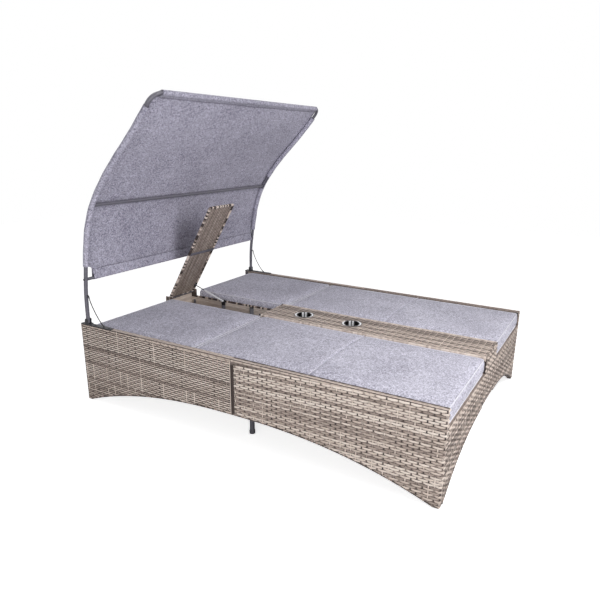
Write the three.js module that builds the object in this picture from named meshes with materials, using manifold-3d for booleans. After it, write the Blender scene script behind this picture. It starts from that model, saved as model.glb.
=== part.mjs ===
// Outdoor daybed for two: a woven base in two halves, a console with cup holders and a lidded
// storage box down the middle, two adjustable backrests and a tilting canopy at the head end.
// Millimetres. X runs across the bed, +Y towards the head end, +Z up. The origin is on the floor,
// under the middle of the bed.
import * as THREE from 'three';
import { mergeVertices } from 'three/addons/utils/BufferGeometryUtils.js';
import Module from 'manifold-3d';

const wasm = await Module();
wasm.setup();

// Overall sizes
const bedLength = 2000;
const bedWidth = 1520;
const rimHeight = 438;
const apronDrop = 85.3;
const apronHeight = rimHeight - apronDrop;
const halfLength = bedLength / 2;
const halfWidth = bedWidth / 2;
const gap = 0.3;
const overrun = 10;
const weldDistance = 0.0005;

// Woven panels
const panelSkin = 4;
const rimWidth = 30;
const rimLipDrop = 60;
const floorClearance = 4;
const baseSplitY = 18;
const sideArchHeight = 157;
const sideArchReach = halfLength - 15;
const sideArchPower = 2.4;
const endArchHeight = 172;
const endArchReach = halfWidth - 25;
const endArchPower = 2.9;
const archBandWidth = 16;
const archBandDepth = 18;
const archSteps = 12;

// Steel underframe
const legSize = 21;
const tubeWall = 1.5;
const legPlug = 12;
const railHeight = 25;
const railWidth = 21;
const deckThickness = 17.7;
const centreLegInset = 137;
const centreLegX = halfWidth - centreLegInset;
const centreLegRadius = 12.5;
const centreCapRadius = 15;
const centreCapHeight = 18;

// Console and storage box
const consoleWidth = 240;
const consoleHalf = consoleWidth / 2;
const consoleSkin = 8;
const consoleHeadY = 283;
const boxDepth = 239;
const boxFloorZ = rimHeight - boxDepth;
const boxFloorThickness = 6;
const boxRimDrop = 43;
const boxEarReach = 17;
const lidWidth = 230;
const lidSideGap = 0.5;
const uprightWidth = 25;
const uprightDepth = 7;
const uprightInsets = [492, 272];
const uprightRimGap = 12;

// Cup holders
const cupYs = [67, -235];
const cupFlangeRadius = 53.5;
const cupFlangeThickness = 2;
const cupRadius = 45;
const cupDepth = 72;
const cupWall = 1.5;
const cupCorner = 6;
const cupHoleGap = 1.2;
const cupSides = 24;

// Lid of the storage box, shown open
const lidOpenAngle = 59.5;
const lidHingeInset = 28;
const lidHingeY = halfLength - lidHingeInset;
const lidHingeDrop = 13;
const lidHingeZ = rimHeight - lidHingeDrop;
const lidFootGap = 3;
const lidLength = lidHingeY - consoleHeadY - lidFootGap;
const lidThickness = 14;
const lidTopRise = 12;
const lidTopZ = lidHingeZ + lidTopRise;
const lidBottomZ = lidTopZ - lidThickness;
const lidHeadOverhang = 8;
const lidBorder = 14;
const lidSheet = 5;
const hingeRodRadius = 4;
const hingeBoreRadius = 4.5;
const hingeRodEndGap = 1.5;
const lidCrossbarFromHinge = 348;
const lidCrossbarWidth = 22;
const lidCrossbarThickness = 4;

// Gas strut of the lid
const strutSideInset = 10;
const strutX = lidWidth / 2 - lidBorder - strutSideInset;
const strutLowerReach = 250;
const strutLowerY = lidHingeY - strutLowerReach;
const strutLowerDrop = 27;
const strutLowerZ = lidHingeZ - strutLowerDrop;
const strutUpperReach = 32;
const strutUpperY = lidHingeY - strutUpperReach;
const strutUpperRise = 50;
const strutUpperZ = lidHingeZ + strutUpperRise;
const strutSocketRadius = 6;
const strutSocketWidth = 11.6;
const strutStudRadius = 3;
const strutStudLength = 1.2;
const strutPlateThickness = 3;
const strutPlateLength = 24;
const strutLowerPlateDepth = 36;
const strutCylinderRadius = 6.5;
const strutCylinderLength = 144;
const strutRodRadius = 3;
const strutBoreRadius = 3.6;
const strutRodInside = 60;
const strutRodSeat = 4;

// Cushions
const cushionEdgeDrop = 2;
const cushionTop = rimHeight - cushionEdgeDrop;
const cushionGap = 0.3;
const cushionSideGap = 6.2;
const cushionSideX = halfWidth - rimWidth - cushionSideGap;
const cushionInnerX = consoleHalf + cushionSideGap;
const cushionFootInset = 1.5;
const cushionHeadInset = 55;
const cushionFootY = halfLength - cushionFootInset;
const cushionHeadY = halfLength - cushionHeadInset;
const cushionSeamY = 265;
const cushionSeamGap = 2;
const cushionCreaseY = -370;
const cushionCreaseDepth = 9;
const cushionCreaseWidth = 9;
const cushionCrown = 7;
const cushionDrawIn = 3;
const cushionEdgePower = 22;
const cushionEdgeRoot = 2.4;
const cushionCellShares = [0, 0.5, 0.82, 0.93, 0.98, 1];

// Backrest hinge fittings
const backPivotDrop = 14;
const backPivotZ = rimHeight - backPivotDrop;
const backDeckHeadInset = 62;
const backDeckHeadY = halfLength - backDeckHeadInset;
const backDeckGap = 1.5;
const pivotDiscRadius = 11;
const pivotDiscThickness = 2.5;
const pivotPinRadius = 3;
const pivotBoreRadius = 3.5;
const backArmRun = 44;
const backArmWidth = 18;

// Canopy frame
const postSideInset = 15;
const postHeadInset = 40;
const postX = halfWidth - postSideInset;
const postY = halfLength - postHeadInset;
const postBottomRise = 9.5;
const canopyPivotRise = 24;
const postBottomZ = rimHeight + postBottomRise;
const canopyPivotZ = rimHeight + canopyPivotRise;
const postRadius = 10;
const armRadius = 9;
const canopyTubeWall = 1.5;
const canopyReach = 565;
const canopyRise = 1140.5;
const canopyJointRise = 658.5;
const canopyJointZ = postBottomZ + canopyJointRise;
const spigotRadius = 7.6;
const spigotLength = 35;
const topBendRadius = 58;
const lowBarRise = 236.5;
const lowBarZ = postBottomZ + lowBarRise;
const lowBarRadius = 8;
const midBarRise = 624.5;
const midBarZ = postBottomZ + midBarRise;
const midBarRadius = 9;
const canopyBoltRadius = 6;
const canopyBoltHeight = 4;
const canopyPinRadius = 4;
const canopyPinBoreRadius = 4.5;
const tubeSides = 12;
// The side tube's run from post foot to top bar: shares of the reach forward and of the rise
const sideTubeShares = [[0, 0], [0.009, 0.134], [0.035, 0.239], [0.073, 0.353], [0.119, 0.449], [0.209, 0.55],
  [0.368, 0.66], [0.529, 0.748], [0.704, 0.835], [0.867, 0.923], [1, 1]];

// Canopy base plates on the rims
const plateThickness = 4;
const plateInset = 0.5;
const plateTongueWidth = 25;
const plateLength = 215;
const platePadLength = 54;
const plateFrontY = halfLength - plateLength;
const platePadFrontY = halfLength - platePadLength;
const earThickness = 3;
const earHalfWidth = 10;
const pinHeadRadius = 7;
const pinHeadThickness = 4;
const plateScrewRadius = 5;
const plateScrewHeight = 3;
const plateScrewInsets = [195, 95];

// Stay cables
const cableRadius = 2.4;
const cableSides = 8;
const cableSteps = 24;
const cableLugRadius = 4;
const cableLugLength = 5;
const cablePostRise = 149.5;
const cablePostZ = postBottomZ + cablePostRise;
const cablePlateInset = 154;
const cablePlateY = halfLength - cablePlateInset;
const cablePlateLugHeight = 9;
const cableEndGap = cableRadius + gap;
// The cable's route from the post's lug down to the plate's: shares of its run and of its drop
const cableRouteShares = [[0, 0], [0.045, 0.1], [0.115, 0.22], [0.215, 0.35], [0.345, 0.49], [0.525, 0.66],
  [0.745, 0.835], [1, 1]];

// Canopy cloth
const clothThickness = 2.2;
const sleeveInner = 12.4;
const sleeveOuter = sleeveInner + clothThickness + gap;
const sleeveSides = 10;
const clothSag = 2.4;
const clothSpanShares = [-0.85, -0.45, 0, 0.45, 0.85];
const sleeveBottomRise = 305.5;
const sleeveBottomZ = postBottomZ + sleeveBottomRise;
const hemInset = 15;
const hemHalfWidth = postX - hemInset;
const hemInner = 9;
const topPocketInset = 50;
const topPocketHalfWidth = postX - topPocketInset;
const topPocketInner = 10.3;
const topSleeveEnd = 82;
const clothOverlap = 4;
const sleeveNotchRadius = 13.6;
const sleeveNotchInnerX = postX - sleeveOuter - gap;

const finishes = {
  wicker: { color: 0xa3958a, roughness: 0.62, metalness: 0 },
  wickerDark: { color: 0x7a7069, roughness: 0.62, metalness: 0 },
  deck: { color: 0x8f8378, roughness: 0.7, metalness: 0 },
  frame: { color: 0x5c5b61, roughness: 0.45, metalness: 0.5 },
  canopyTube: { color: 0x6f6e78, roughness: 0.42, metalness: 0.5 },
  black: { color: 0x1c1c1f, roughness: 0.5, metalness: 0.1 },
  fabric: { color: 0xb4b0bf, roughness: 0.95, metalness: 0 },
  canopyCloth: { color: 0x96929f, roughness: 0.95, metalness: 0 },
  stainless: { color: 0xd2d2d4, roughness: 0.18, metalness: 1 },
  cable: { color: 0x4c4d52, roughness: 0.5, metalness: 0.6 },
};

// Geometry helpers

function signedVolume(position, index) {
  const a = new THREE.Vector3();
  const b = new THREE.Vector3();
  const c = new THREE.Vector3();
  let sum = 0;
  for (let i = 0; i < index.length; i += 3) {
    a.fromBufferAttribute(position, index[i]);
    b.fromBufferAttribute(position, index[i + 1]);
    c.fromBufferAttribute(position, index[i + 2]);
    sum += a.dot(b.cross(c));
  }
  return sum;
}

function toSolid(geometry) {
  const plain = geometry.clone();
  plain.deleteAttribute('normal');
  plain.deleteAttribute('uv');
  const merged = mergeVertices(plain, weldDistance);
  const index = Uint32Array.from(merged.index.array);
  if (signedVolume(merged.attributes.position, index) < 0) {
    for (let i = 0; i < index.length; i += 3) {
      const first = index[i];
      index[i] = index[i + 1];
      index[i + 1] = first;
    }
  }
  const vertProperties = Float32Array.from(merged.attributes.position.array);
  return new wasm.Manifold(new wasm.Mesh({ numProp: 3, vertProperties, triVerts: index }));
}

function toGeometry(solid) {
  const mesh = solid.getMesh();
  const geometry = new THREE.BufferGeometry();
  geometry.setAttribute('position', new THREE.BufferAttribute(mesh.vertProperties, 3));
  geometry.setIndex(new THREE.BufferAttribute(mesh.triVerts, 1));
  geometry.computeVertexNormals();
  return geometry;
}

function join(...solids) {
  return solids.reduce((sum, solid) => sum.add(solid));
}

function box(x0, x1, y0, y1, z0, z1) {
  const geometry = new THREE.BoxGeometry(Math.abs(x1 - x0), Math.abs(y1 - y0), Math.abs(z1 - z0));
  return toSolid(geometry.translate((x0 + x1) / 2, (y0 + y1) / 2, (z0 + z1) / 2));
}

function shapeOf(points, holes = []) {
  const shape = new THREE.Shape(points.map(([u, v]) => new THREE.Vector2(u, v)));
  shape.holes = holes.map((hole) => new THREE.Path(hole.map(([u, v]) => new THREE.Vector2(u, v))));
  return shape;
}

function circlePoints(radius, sides, u = 0, v = 0) {
  const step = 2 * Math.PI / sides;
  return Array.from({ length: sides }, (_, i) => {
    const angle = (i + 1 / 2) * step;
    return [u + radius * Math.cos(angle), v + radius * Math.sin(angle)];
  });
}

// An outline of (y, z) points carried along X
function alongX(points, x0, x1, holes = []) {
  const depth = Math.abs(x1 - x0);
  const geometry = new THREE.ExtrudeGeometry(shapeOf(points, holes), { depth, bevelEnabled: false });
  const across = new THREE.Vector3(0, 1, 0);
  const up = new THREE.Vector3(0, 0, 1);
  const along = new THREE.Vector3(1, 0, 0);
  geometry.applyMatrix4(new THREE.Matrix4().makeBasis(across, up, along));
  return toSolid(geometry.translate(Math.min(x0, x1), 0, 0));
}

// An outline of (x, z) points carried along Y
function alongY(points, y0, y1, holes = []) {
  const depth = Math.abs(y1 - y0);
  const geometry = new THREE.ExtrudeGeometry(shapeOf(points, holes), { depth, bevelEnabled: false });
  const across = new THREE.Vector3(1, 0, 0);
  const up = new THREE.Vector3(0, 0, 1);
  const along = new THREE.Vector3(0, -1, 0);
  geometry.applyMatrix4(new THREE.Matrix4().makeBasis(across, up, along));
  return toSolid(geometry.translate(0, Math.max(y0, y1), 0));
}

// An outline of (x, y) points carried along Z
function alongZ(points, z0, z1, holes = []) {
  const depth = Math.abs(z1 - z0);
  const geometry = new THREE.ExtrudeGeometry(shapeOf(points, holes), { depth, bevelEnabled: false });
  return toSolid(geometry.translate(0, 0, Math.min(z0, z1)));
}

function rodX(radius, sides, x0, x1, y, z) {
  return alongX(circlePoints(radius, sides, y, z), x0, x1);
}

function squareTube(size0, size1, wall) {
  const outline = (inset) => [
    [size0[0] + inset, size0[1] + inset], [size1[0] - inset, size0[1] + inset],
    [size1[0] - inset, size1[1] - inset], [size0[0] + inset, size1[1] - inset]];
  return { outline: outline(0), hole: outline(wall) };
}

// Closed loops in (across, out) coordinates carried through a row of stations
function sweep(contour, holes, stations) {
  const loops = [contour, ...holes];
  const flat = loops.flat();
  const positions = [];
  for (const { origin, across, out } of stations) {
    for (const [u, v] of flat) {
      const point = origin.clone().addScaledVector(across, u).addScaledVector(out, v);
      positions.push(point.x, point.y, point.z);
    }
  }
  const index = [];
  const ring = flat.length;
  for (let step = 0; step < stations.length - 1; step += 1) {
    let first = 0;
    for (const loop of loops) {
      for (let i = 0; i < loop.length; i += 1) {
        const a = step * ring + first + i;
        const b = step * ring + first + (i + 1) % loop.length;
        index.push(a, b, b + ring, a, b + ring, a + ring);
      }
      first += loop.length;
    }
  }
  const toVectors = (loop) => loop.map(([u, v]) => new THREE.Vector2(u, v));
  const caps = THREE.ShapeUtils.triangulateShape(toVectors(contour), holes.map(toVectors));
  const last = (stations.length - 1) * ring;
  for (const [a, b, c] of caps) {
    index.push(c, b, a, last + a, last + b, last + c);
  }
  const geometry = new THREE.BufferGeometry();
  geometry.setAttribute('position', new THREE.BufferAttribute(new Float32Array(positions), 3));
  geometry.setIndex(index);
  return toSolid(geometry);
}

// Assembly

const daybed = new THREE.Group();
daybed.name = 'outdoor_daybed_with_canopy';

function addPiece(name, solid, finish, parent = daybed) {
  const piece = new THREE.Mesh(toGeometry(solid), new THREE.MeshStandardMaterial(finishes[finish]));
  piece.name = name;
  parent.add(piece);
  return piece;
}

const sides = [{ name: 'left', sign: -1 }, { name: 'right', sign: 1 }];
const ends = [{ name: 'foot', sign: -1 }, { name: 'head', sign: 1 }];

const railTopZ = apronHeight - deckThickness - gap;
const railBottomZ = railTopZ - railHeight;
const crossTopZ = railBottomZ - gap;
const crossBottomZ = crossTopZ - legSize;
const legOuterX = halfWidth - panelSkin - gap;
const legOuterY = halfLength - panelSkin - gap;
const rimInnerX = halfWidth - rimWidth;

// Woven base panels

function archZ(along, height, reach, power) {
  return height * (1 - Math.min(1, Math.abs(along) / reach) ** power);
}

function archLine(from, to, height, reach, power, lift) {
  return Array.from({ length: archSteps + 1 }, (_, i) => {
    const along = from + (to - from) * i / archSteps;
    return [along, Math.max(floorClearance, archZ(along, height, reach, power)) + lift];
  });
}

// A woven face with an arched foot: the skin, and the band that binds its arched edge
function archedOutline(from, to, top, arch) {
  return [...archLine(from, to, ...arch, 0), [to, top], [from, top]];
}

function archedBand(from, to, arch) {
  return [...archLine(from, to, ...arch, 0), ...archLine(from, to, ...arch, archBandWidth).reverse()];
}

const sideArch = [sideArchHeight, sideArchReach, sideArchPower];
const endArch = [endArchHeight, endArchReach, endArchPower];

function sidePanel(side, end) {
  const cornerY = end.sign * halfLength;
  const splitY = baseSplitY + end.sign * gap / 2;
  const outerX = side.sign * halfWidth;
  const innerX = side.sign * rimInnerX;
  const skinX = side.sign * (halfWidth - panelSkin);
  const lipX = side.sign * (rimInnerX + panelSkin);
  const bandX = side.sign * (halfWidth - archBandDepth);
  const bandEndY = end.sign * (legOuterY - legSize - gap);
  const skin = alongX(archedOutline(splitY, cornerY, rimHeight, sideArch), skinX, outerX);
  const band = alongX(archedBand(splitY, bandEndY, sideArch), bandX, outerX);
  const cap = box(innerX, outerX, splitY, cornerY, rimHeight - panelSkin, rimHeight);
  const lip = box(innerX, lipX, splitY, bandEndY, rimHeight - rimLipDrop, rimHeight);
  const endFace = box(innerX, outerX, cornerY - end.sign * panelSkin, cornerY, floorClearance, rimHeight);
  return join(skin, band, cap, lip, endFace);
}

function endPanel(side, end) {
  const from = side.sign * (consoleHalf + gap);
  const to = side.sign * (rimInnerX - gap);
  const outerY = end.sign * halfLength;
  const skinY = end.sign * (halfLength - panelSkin);
  const ledgeY = end.sign * (halfLength - rimWidth);
  const bandY = end.sign * (halfLength - archBandDepth);
  const skin = alongY(archedOutline(from, to, apronHeight, endArch), skinY, outerY);
  const band = alongY(archedBand(from, to, endArch), bandY, outerY);
  const ledge = box(from, to, ledgeY, outerY, apronHeight - panelSkin, apronHeight);
  return join(skin, band, ledge);
}

for (const end of ends) {
  for (const side of sides) {
    addPiece(`side_panel_${side.name}_${end.name}`, sidePanel(side, end), 'wicker');
    addPiece(`end_panel_${side.name}_${end.name}`, endPanel(side, end), 'wicker');
  }
}

// Steel underframe

function cornerLeg(side, end) {
  const x0 = side.sign * legOuterX;
  const x1 = side.sign * (legOuterX - legSize);
  const y0 = end.sign * legOuterY;
  const y1 = end.sign * (legOuterY - legSize);
  const low = [Math.min(x0, x1), Math.min(y0, y1)];
  const high = [Math.max(x0, x1), Math.max(y0, y1)];
  const { outline, hole } = squareTube(low, high, tubeWall);
  const tube = alongZ(outline, legPlug, rimHeight - panelSkin - gap, [hole]);
  return join(tube, alongZ(outline, 0, legPlug));
}

function lengthRail(side, x0, x1) {
  const low = [Math.min(x0, x1), railBottomZ];
  const high = [Math.max(x0, x1), railTopZ];
  const { outline, hole } = squareTube(low, high, tubeWall);
  return alongY(outline, -legOuterY, legOuterY, [hole]);
}

function crossTube(x0, x1, yCentre) {
  const low = [yCentre - legSize / 2, crossBottomZ];
  const high = [yCentre + legSize / 2, crossTopZ];
  const { outline, hole } = squareTube(low, high, tubeWall);
  return alongX(outline, x0, x1, [hole]);
}

const crossEndX = legOuterX - legSize - gap;
const crossEndY = legOuterY - legSize / 2;

for (const side of sides) {
  for (const end of ends) {
    addPiece(`corner_leg_${side.name}_${end.name}`, cornerLeg(side, end), 'frame');
  }
  const outerRailX = side.sign * (rimInnerX - gap);
  const innerRailX = side.sign * (consoleHalf + gap);
  addPiece(`rail_${side.name}_outer`, lengthRail(side, outerRailX, outerRailX - side.sign * railWidth), 'frame');
  addPiece(`rail_${side.name}_inner`, lengthRail(side, innerRailX, innerRailX + side.sign * railWidth), 'frame');
  const boxSideX = side.sign * (consoleHalf + gap);
  addPiece(`cross_tube_head_${side.name}`, crossTube(boxSideX, side.sign * crossEndX, crossEndY), 'frame');
}
addPiece('cross_tube_foot', crossTube(-crossEndX, crossEndX, -crossEndY), 'frame');
addPiece('cross_tube_middle', crossTube(-crossEndX, crossEndX, 0), 'frame');

function centreLeg(side) {
  const x = side.sign * centreLegX;
  const ring = circlePoints(centreLegRadius, tubeSides, x, 0);
  const bore = circlePoints(centreLegRadius - tubeWall, tubeSides, x, 0);
  const tube = alongZ(ring, centreCapHeight, crossBottomZ - gap, [bore]);
  return join(tube, alongZ(circlePoints(centreCapRadius, tubeSides, x, 0), 0, centreCapHeight));
}

for (const side of sides) {
  addPiece(`centre_leg_${side.name}`, centreLeg(side), 'black');
}

// Console: one woven channel from the foot end to the storage box

function consoleBody() {
  const wallBottomZ = railBottomZ;
  const top = box(-consoleHalf, consoleHalf, -halfLength, consoleHeadY, rimHeight - consoleSkin, rimHeight);
  const wall = (sign) => box(sign * (consoleHalf - consoleSkin), sign * consoleHalf, -halfLength, consoleHeadY,
    wallBottomZ, rimHeight);
  const face = alongY(archedOutline(-consoleHalf, consoleHalf, rimHeight, endArch), -halfLength,
    panelSkin - halfLength);
  let body = join(top, wall(-1), wall(1), face);
  for (const y of cupYs) {
    const hole = alongZ(circlePoints(cupRadius + cupHoleGap, cupSides, 0, y), rimHeight - consoleSkin - overrun,
      rimHeight + overrun);
    body = body.subtract(hole);
  }
  return body;
}

addPiece('console_body', consoleBody(), 'wicker');

// Open box whose side walls stop below the lid; at the head end they rise as ears for the hinge rod
function storageBox() {
  const footY = consoleHeadY + gap;
  const innerX = consoleHalf - consoleSkin;
  const earX = lidWidth / 2 + lidSideGap;
  const innerFootY = footY + consoleSkin;
  const innerHeadY = halfLength - consoleSkin;
  const floorTopZ = boxFloorZ + boxFloorThickness;
  const rimTopZ = rimHeight - boxRimDrop;
  const shell = box(-consoleHalf, consoleHalf, footY, halfLength, boxFloorZ, rimHeight);
  const face = alongY(archedOutline(-consoleHalf, consoleHalf, boxFloorZ + overrun, endArch),
    halfLength - panelSkin, halfLength);
  const cavity = box(-innerX, innerX, innerFootY, innerHeadY, floorTopZ, rimHeight + overrun);
  const rimCut = box(-halfWidth, halfWidth, footY - overrun, lidHingeY - boxEarReach, rimTopZ,
    rimHeight + overrun);
  const tailSpace = box(-earX, earX, lidHingeY - boxEarReach - overrun, halfLength + overrun,
    lidBottomZ - consoleSkin, rimHeight + overrun);
  const bore = rodX(hingeBoreRadius, tubeSides, hingeRodEndGap - consoleHalf, consoleHalf - hingeRodEndGap,
    lidHingeY, lidHingeZ);
  let body = join(shell, face).subtract(cavity).subtract(rimCut).subtract(tailSpace).subtract(bore);
  body = body.add(box(-earX, earX, footY, innerFootY, rimTopZ - overrun, lidBottomZ - gap));
  for (const inset of uprightInsets) {
    const y = halfLength - inset;
    for (const sign of [-1, 1]) {
      const wallX = sign * (innerX + consoleSkin / 2);
      const upright = box(sign * (innerX - uprightDepth), wallX, y - uprightWidth / 2, y + uprightWidth / 2,
        floorTopZ - boxFloorThickness / 2, rimTopZ - uprightRimGap);
      body = body.add(upright);
    }
  }
  return body;
}

addPiece('storage_box', storageBox(), 'wicker');

// Cup holders hang in the console's round holes by their flanges

function cupHolder(y) {
  const seatZ = rimHeight + gap;
  const rimZ = cupFlangeThickness;
  const inside = cupRadius - cupWall;
  const profile = [[0, -cupDepth], [cupRadius - cupCorner, -cupDepth], [cupRadius, cupCorner - cupDepth],
    [cupRadius, 0], [cupFlangeRadius, 0], [cupFlangeRadius, rimZ], [inside, rimZ],
    [inside, cupCorner - cupDepth], [inside - cupCorner, cupWall - cupDepth], [0, cupWall - cupDepth]];
  const geometry = new THREE.LatheGeometry(profile.map(([r, z]) => new THREE.Vector2(r, z)), cupSides);
  return toSolid(geometry.rotateX(Math.PI / 2).translate(0, y, seatZ));
}

cupYs.forEach((y, i) => addPiece(`cup_holder_${['head', 'foot'][i]}`, cupHolder(y), 'stainless'));

// Decks under the cushions

function seatDeck(side) {
  return box(side.sign * (consoleHalf + gap), side.sign * (rimInnerX - gap), rimWidth + gap - halfLength,
    cushionSeamY - backDeckGap, railTopZ + gap, apronHeight);
}

// Both arms stand beside the cushion and carry the pivot at its top edge
function backArm(x0, x1) {
  const y0 = cushionSeamY;
  const deckZ = railTopZ + gap;
  const disc = alongX(circlePoints(pivotDiscRadius, tubeSides, y0, backPivotZ), x0, x1);
  const strap = alongX([[y0 - pivotDiscRadius / 2, backPivotZ], [y0 + backDeckGap, deckZ],
    [y0 + backArmRun, deckZ], [y0 + backArmRun, apronHeight], [y0 + backArmWidth, apronHeight],
    [y0 + pivotDiscRadius, backPivotZ]], x0, x1);
  return join(disc, strap);
}

const pivotPlanes = [
  { name: 'outer', wallX: rimInnerX, inward: -1 },
  { name: 'inner', wallX: consoleHalf, inward: 1 },
];

function backDeck(side) {
  const reach = gap + pivotDiscThickness + gap;
  const outerX = rimInnerX - reach;
  const innerX = consoleHalf + reach;
  const deckOuterX = outerX - pivotDiscThickness;
  const deckInnerX = innerX + pivotDiscThickness;
  let deck = box(side.sign * (deckInnerX - gap), side.sign * (deckOuterX + gap), cushionSeamY + backDeckGap,
    backDeckHeadY, railTopZ + gap, apronHeight);
  deck = join(deck, backArm(side.sign * outerX, side.sign * deckOuterX));
  deck = join(deck, backArm(side.sign * innerX, side.sign * deckInnerX));
  const bore = rodX(pivotBoreRadius, tubeSides, side.sign * (innerX - overrun), side.sign * (outerX + overrun),
    cushionSeamY, backPivotZ);
  return deck.subtract(bore);
}

function backPivot(side, plane) {
  const wallX = plane.wallX + plane.inward * gap;
  const discX = wallX + plane.inward * pivotDiscThickness;
  const pinX = discX + plane.inward * (gap + pivotDiscThickness);
  const disc = rodX(pivotDiscRadius, tubeSides, side.sign * wallX, side.sign * discX, cushionSeamY, backPivotZ);
  const pin = rodX(pivotPinRadius, tubeSides, side.sign * wallX, side.sign * pinX, cushionSeamY, backPivotZ);
  return join(disc, pin);
}

for (const side of sides) {
  addPiece(`seat_deck_${side.name}`, seatDeck(side), 'deck');
  addPiece(`backrest_deck_${side.name}`, backDeck(side), 'deck');
  for (const plane of pivotPlanes) {
    addPiece(`backrest_pivot_${side.name}_${plane.name}`, backPivot(side, plane), 'black');
  }
}

// Cushions: a crowned pad whose sides draw in between its corners. With u and v from -1 to 1 over
// the pad, the half height is (1 - |u|^p)^(1/r) (1 - |v|^p)^(1/r), and the crown adds a share
// (1 - u^2)(1 - v^2); a sewn crease is a narrow dip across the pad.

function edgeFall(share) {
  return Math.max(0, 1 - Math.abs(share) ** cushionEdgePower) ** (1 / cushionEdgeRoot);
}

function cushion(side, footY, headY, creaseYs) {
  const bottomZ = apronHeight + cushionGap;
  const middleZ = (bottomZ + cushionTop) / 2;
  const halfHeight = (cushionTop - bottomZ) / 2;
  const halfX = (cushionSideX - cushionInnerX) / 2;
  const centreX = side.sign * (cushionSideX + cushionInnerX) / 2;
  const halfY = (headY - footY) / 2;
  const centreY = (headY + footY) / 2;
  const mirrored = cushionCellShares.slice(1).map((share) => -share).reverse();
  const us = [...mirrored, ...cushionCellShares];
  const creaseOffsets = [-2, -1, 0, 1, 2].map((step) => step * cushionCreaseWidth);
  const creaseVs = creaseYs.flatMap((y) => creaseOffsets.map((offset) => (y + offset - centreY) / halfY));
  const nearCrease = (v) => creaseVs.some((other) => Math.abs(other - v) < cushionCreaseWidth / halfY);
  const vs = [...us.filter((v) => !nearCrease(v)), ...creaseVs].sort((a, b) => a - b);
  const point = (u, v, top) => {
    const y = centreY + v * (halfY - cushionDrawIn * (1 - u * u));
    const x = centreX + u * (halfX - cushionDrawIn * (1 - v * v));
    const fall = edgeFall(u) * edgeFall(v);
    if (!top) return [x, y, middleZ - halfHeight * fall];
    const crown = cushionCrown * (1 - u * u) * (1 - v * v);
    const dip = creaseYs.reduce((sum, creaseY) => {
      const away = (y - creaseY) / cushionCreaseWidth;
      return sum + cushionCreaseDepth * Math.exp(-away * away) * fall;
    }, 0);
    return [x, y, middleZ + halfHeight * fall + crown - dip];
  };
  const positions = [];
  const index = [];
  const cell = (a, b, c, d) => {
    const first = positions.length / 3;
    positions.push(...a, ...b, ...c, ...d);
    index.push(first, first + 1, first + 2, first, first + 2, first + 3);
  };
  for (let i = 0; i < us.length - 1; i += 1) {
    for (let j = 0; j < vs.length - 1; j += 1) {
      const corners = [[us[i], vs[j]], [us[i + 1], vs[j]], [us[i + 1], vs[j + 1]], [us[i], vs[j + 1]]];
      cell(...corners.map(([u, v]) => point(u, v, true)));
      cell(...corners.map(([u, v]) => point(u, v, false)).reverse());
    }
  }
  const geometry = new THREE.BufferGeometry();
  geometry.setAttribute('position', new THREE.BufferAttribute(new Float32Array(positions), 3));
  geometry.setIndex(index);
  return toSolid(geometry);
}

for (const side of sides) {
  const seamFootY = cushionSeamY - cushionSeamGap / 2;
  const seamHeadY = cushionSeamY + cushionSeamGap / 2;
  addPiece(`seat_cushion_${side.name}`, cushion(side, -cushionFootY, seamFootY, [cushionCreaseY]), 'fabric');
  addPiece(`backrest_cushion_${side.name}`, cushion(side, seamHeadY, cushionHeadY, []), 'fabric');
}

// Lid of the storage box. Its group's origin is the hinge axis, and the lid is drawn lying closed,
// then turned open.

const lidGroup = new THREE.Group();
lidGroup.position.set(0, lidHingeY, lidHingeZ);
lidGroup.rotation.x = THREE.MathUtils.degToRad(-lidOpenAngle);
daybed.add(lidGroup);

function lidPanel() {
  const halfX = lidWidth / 2;
  const bottom = lidTopRise - lidThickness;
  const slab = box(-halfX, halfX, -lidLength, lidHeadOverhang, bottom, lidTopRise);
  const hollow = box(lidBorder - halfX, halfX - lidBorder, lidBorder - lidLength, -lidBorder, bottom - overrun,
    lidTopRise - lidSheet);
  const bore = rodX(hingeBoreRadius, tubeSides, -halfX - overrun, halfX + overrun, 0, 0);
  return slab.subtract(hollow).subtract(bore);
}

function lidCrossbar() {
  const endX = lidWidth / 2 - lidBorder - gap;
  const y = -lidCrossbarFromHinge;
  const sheetZ = lidTopRise - lidSheet - gap;
  return box(-endX, endX, y - lidCrossbarWidth / 2, y + lidCrossbarWidth / 2, sheetZ - lidCrossbarThickness,
    sheetZ);
}

addPiece('lid_panel', lidPanel(), 'wickerDark', lidGroup);
addPiece('lid_crossbar', lidCrossbar(), 'frame', lidGroup);

const rodEndX = consoleHalf - hingeRodEndGap - gap;
addPiece('lid_hinge_rod', rodX(hingeRodRadius, tubeSides, -rodEndX, rodEndX, lidHingeY, lidHingeZ), 'frame');

// Gas strut from the box's right-hand rim to the lid's right-hand border. Each end is a socket
// that faces a stud on its bracket.

const strutSocketFaceX = strutX + strutSocketWidth / 2;
const strutStudX = strutSocketFaceX + gap;
const strutPlateX = strutStudX + strutStudLength;
const strutRun = Math.hypot(strutUpperY - strutLowerY, strutUpperZ - strutLowerZ);
const strutAngle = Math.atan2(strutUpperZ - strutLowerZ, strutUpperY - strutLowerY);

function strutLowerBracket() {
  const wallX = consoleHalf - consoleSkin - uprightDepth - gap;
  const topZ = strutLowerZ + strutSocketRadius;
  const plate = box(strutPlateX, wallX, strutLowerY - strutPlateLength / 2, strutLowerY + strutPlateLength / 2,
    topZ - strutLowerPlateDepth, topZ);
  const stud = rodX(strutStudRadius, tubeSides, strutStudX, wallX, strutLowerY, strutLowerZ);
  return join(plate, stud);
}

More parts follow.
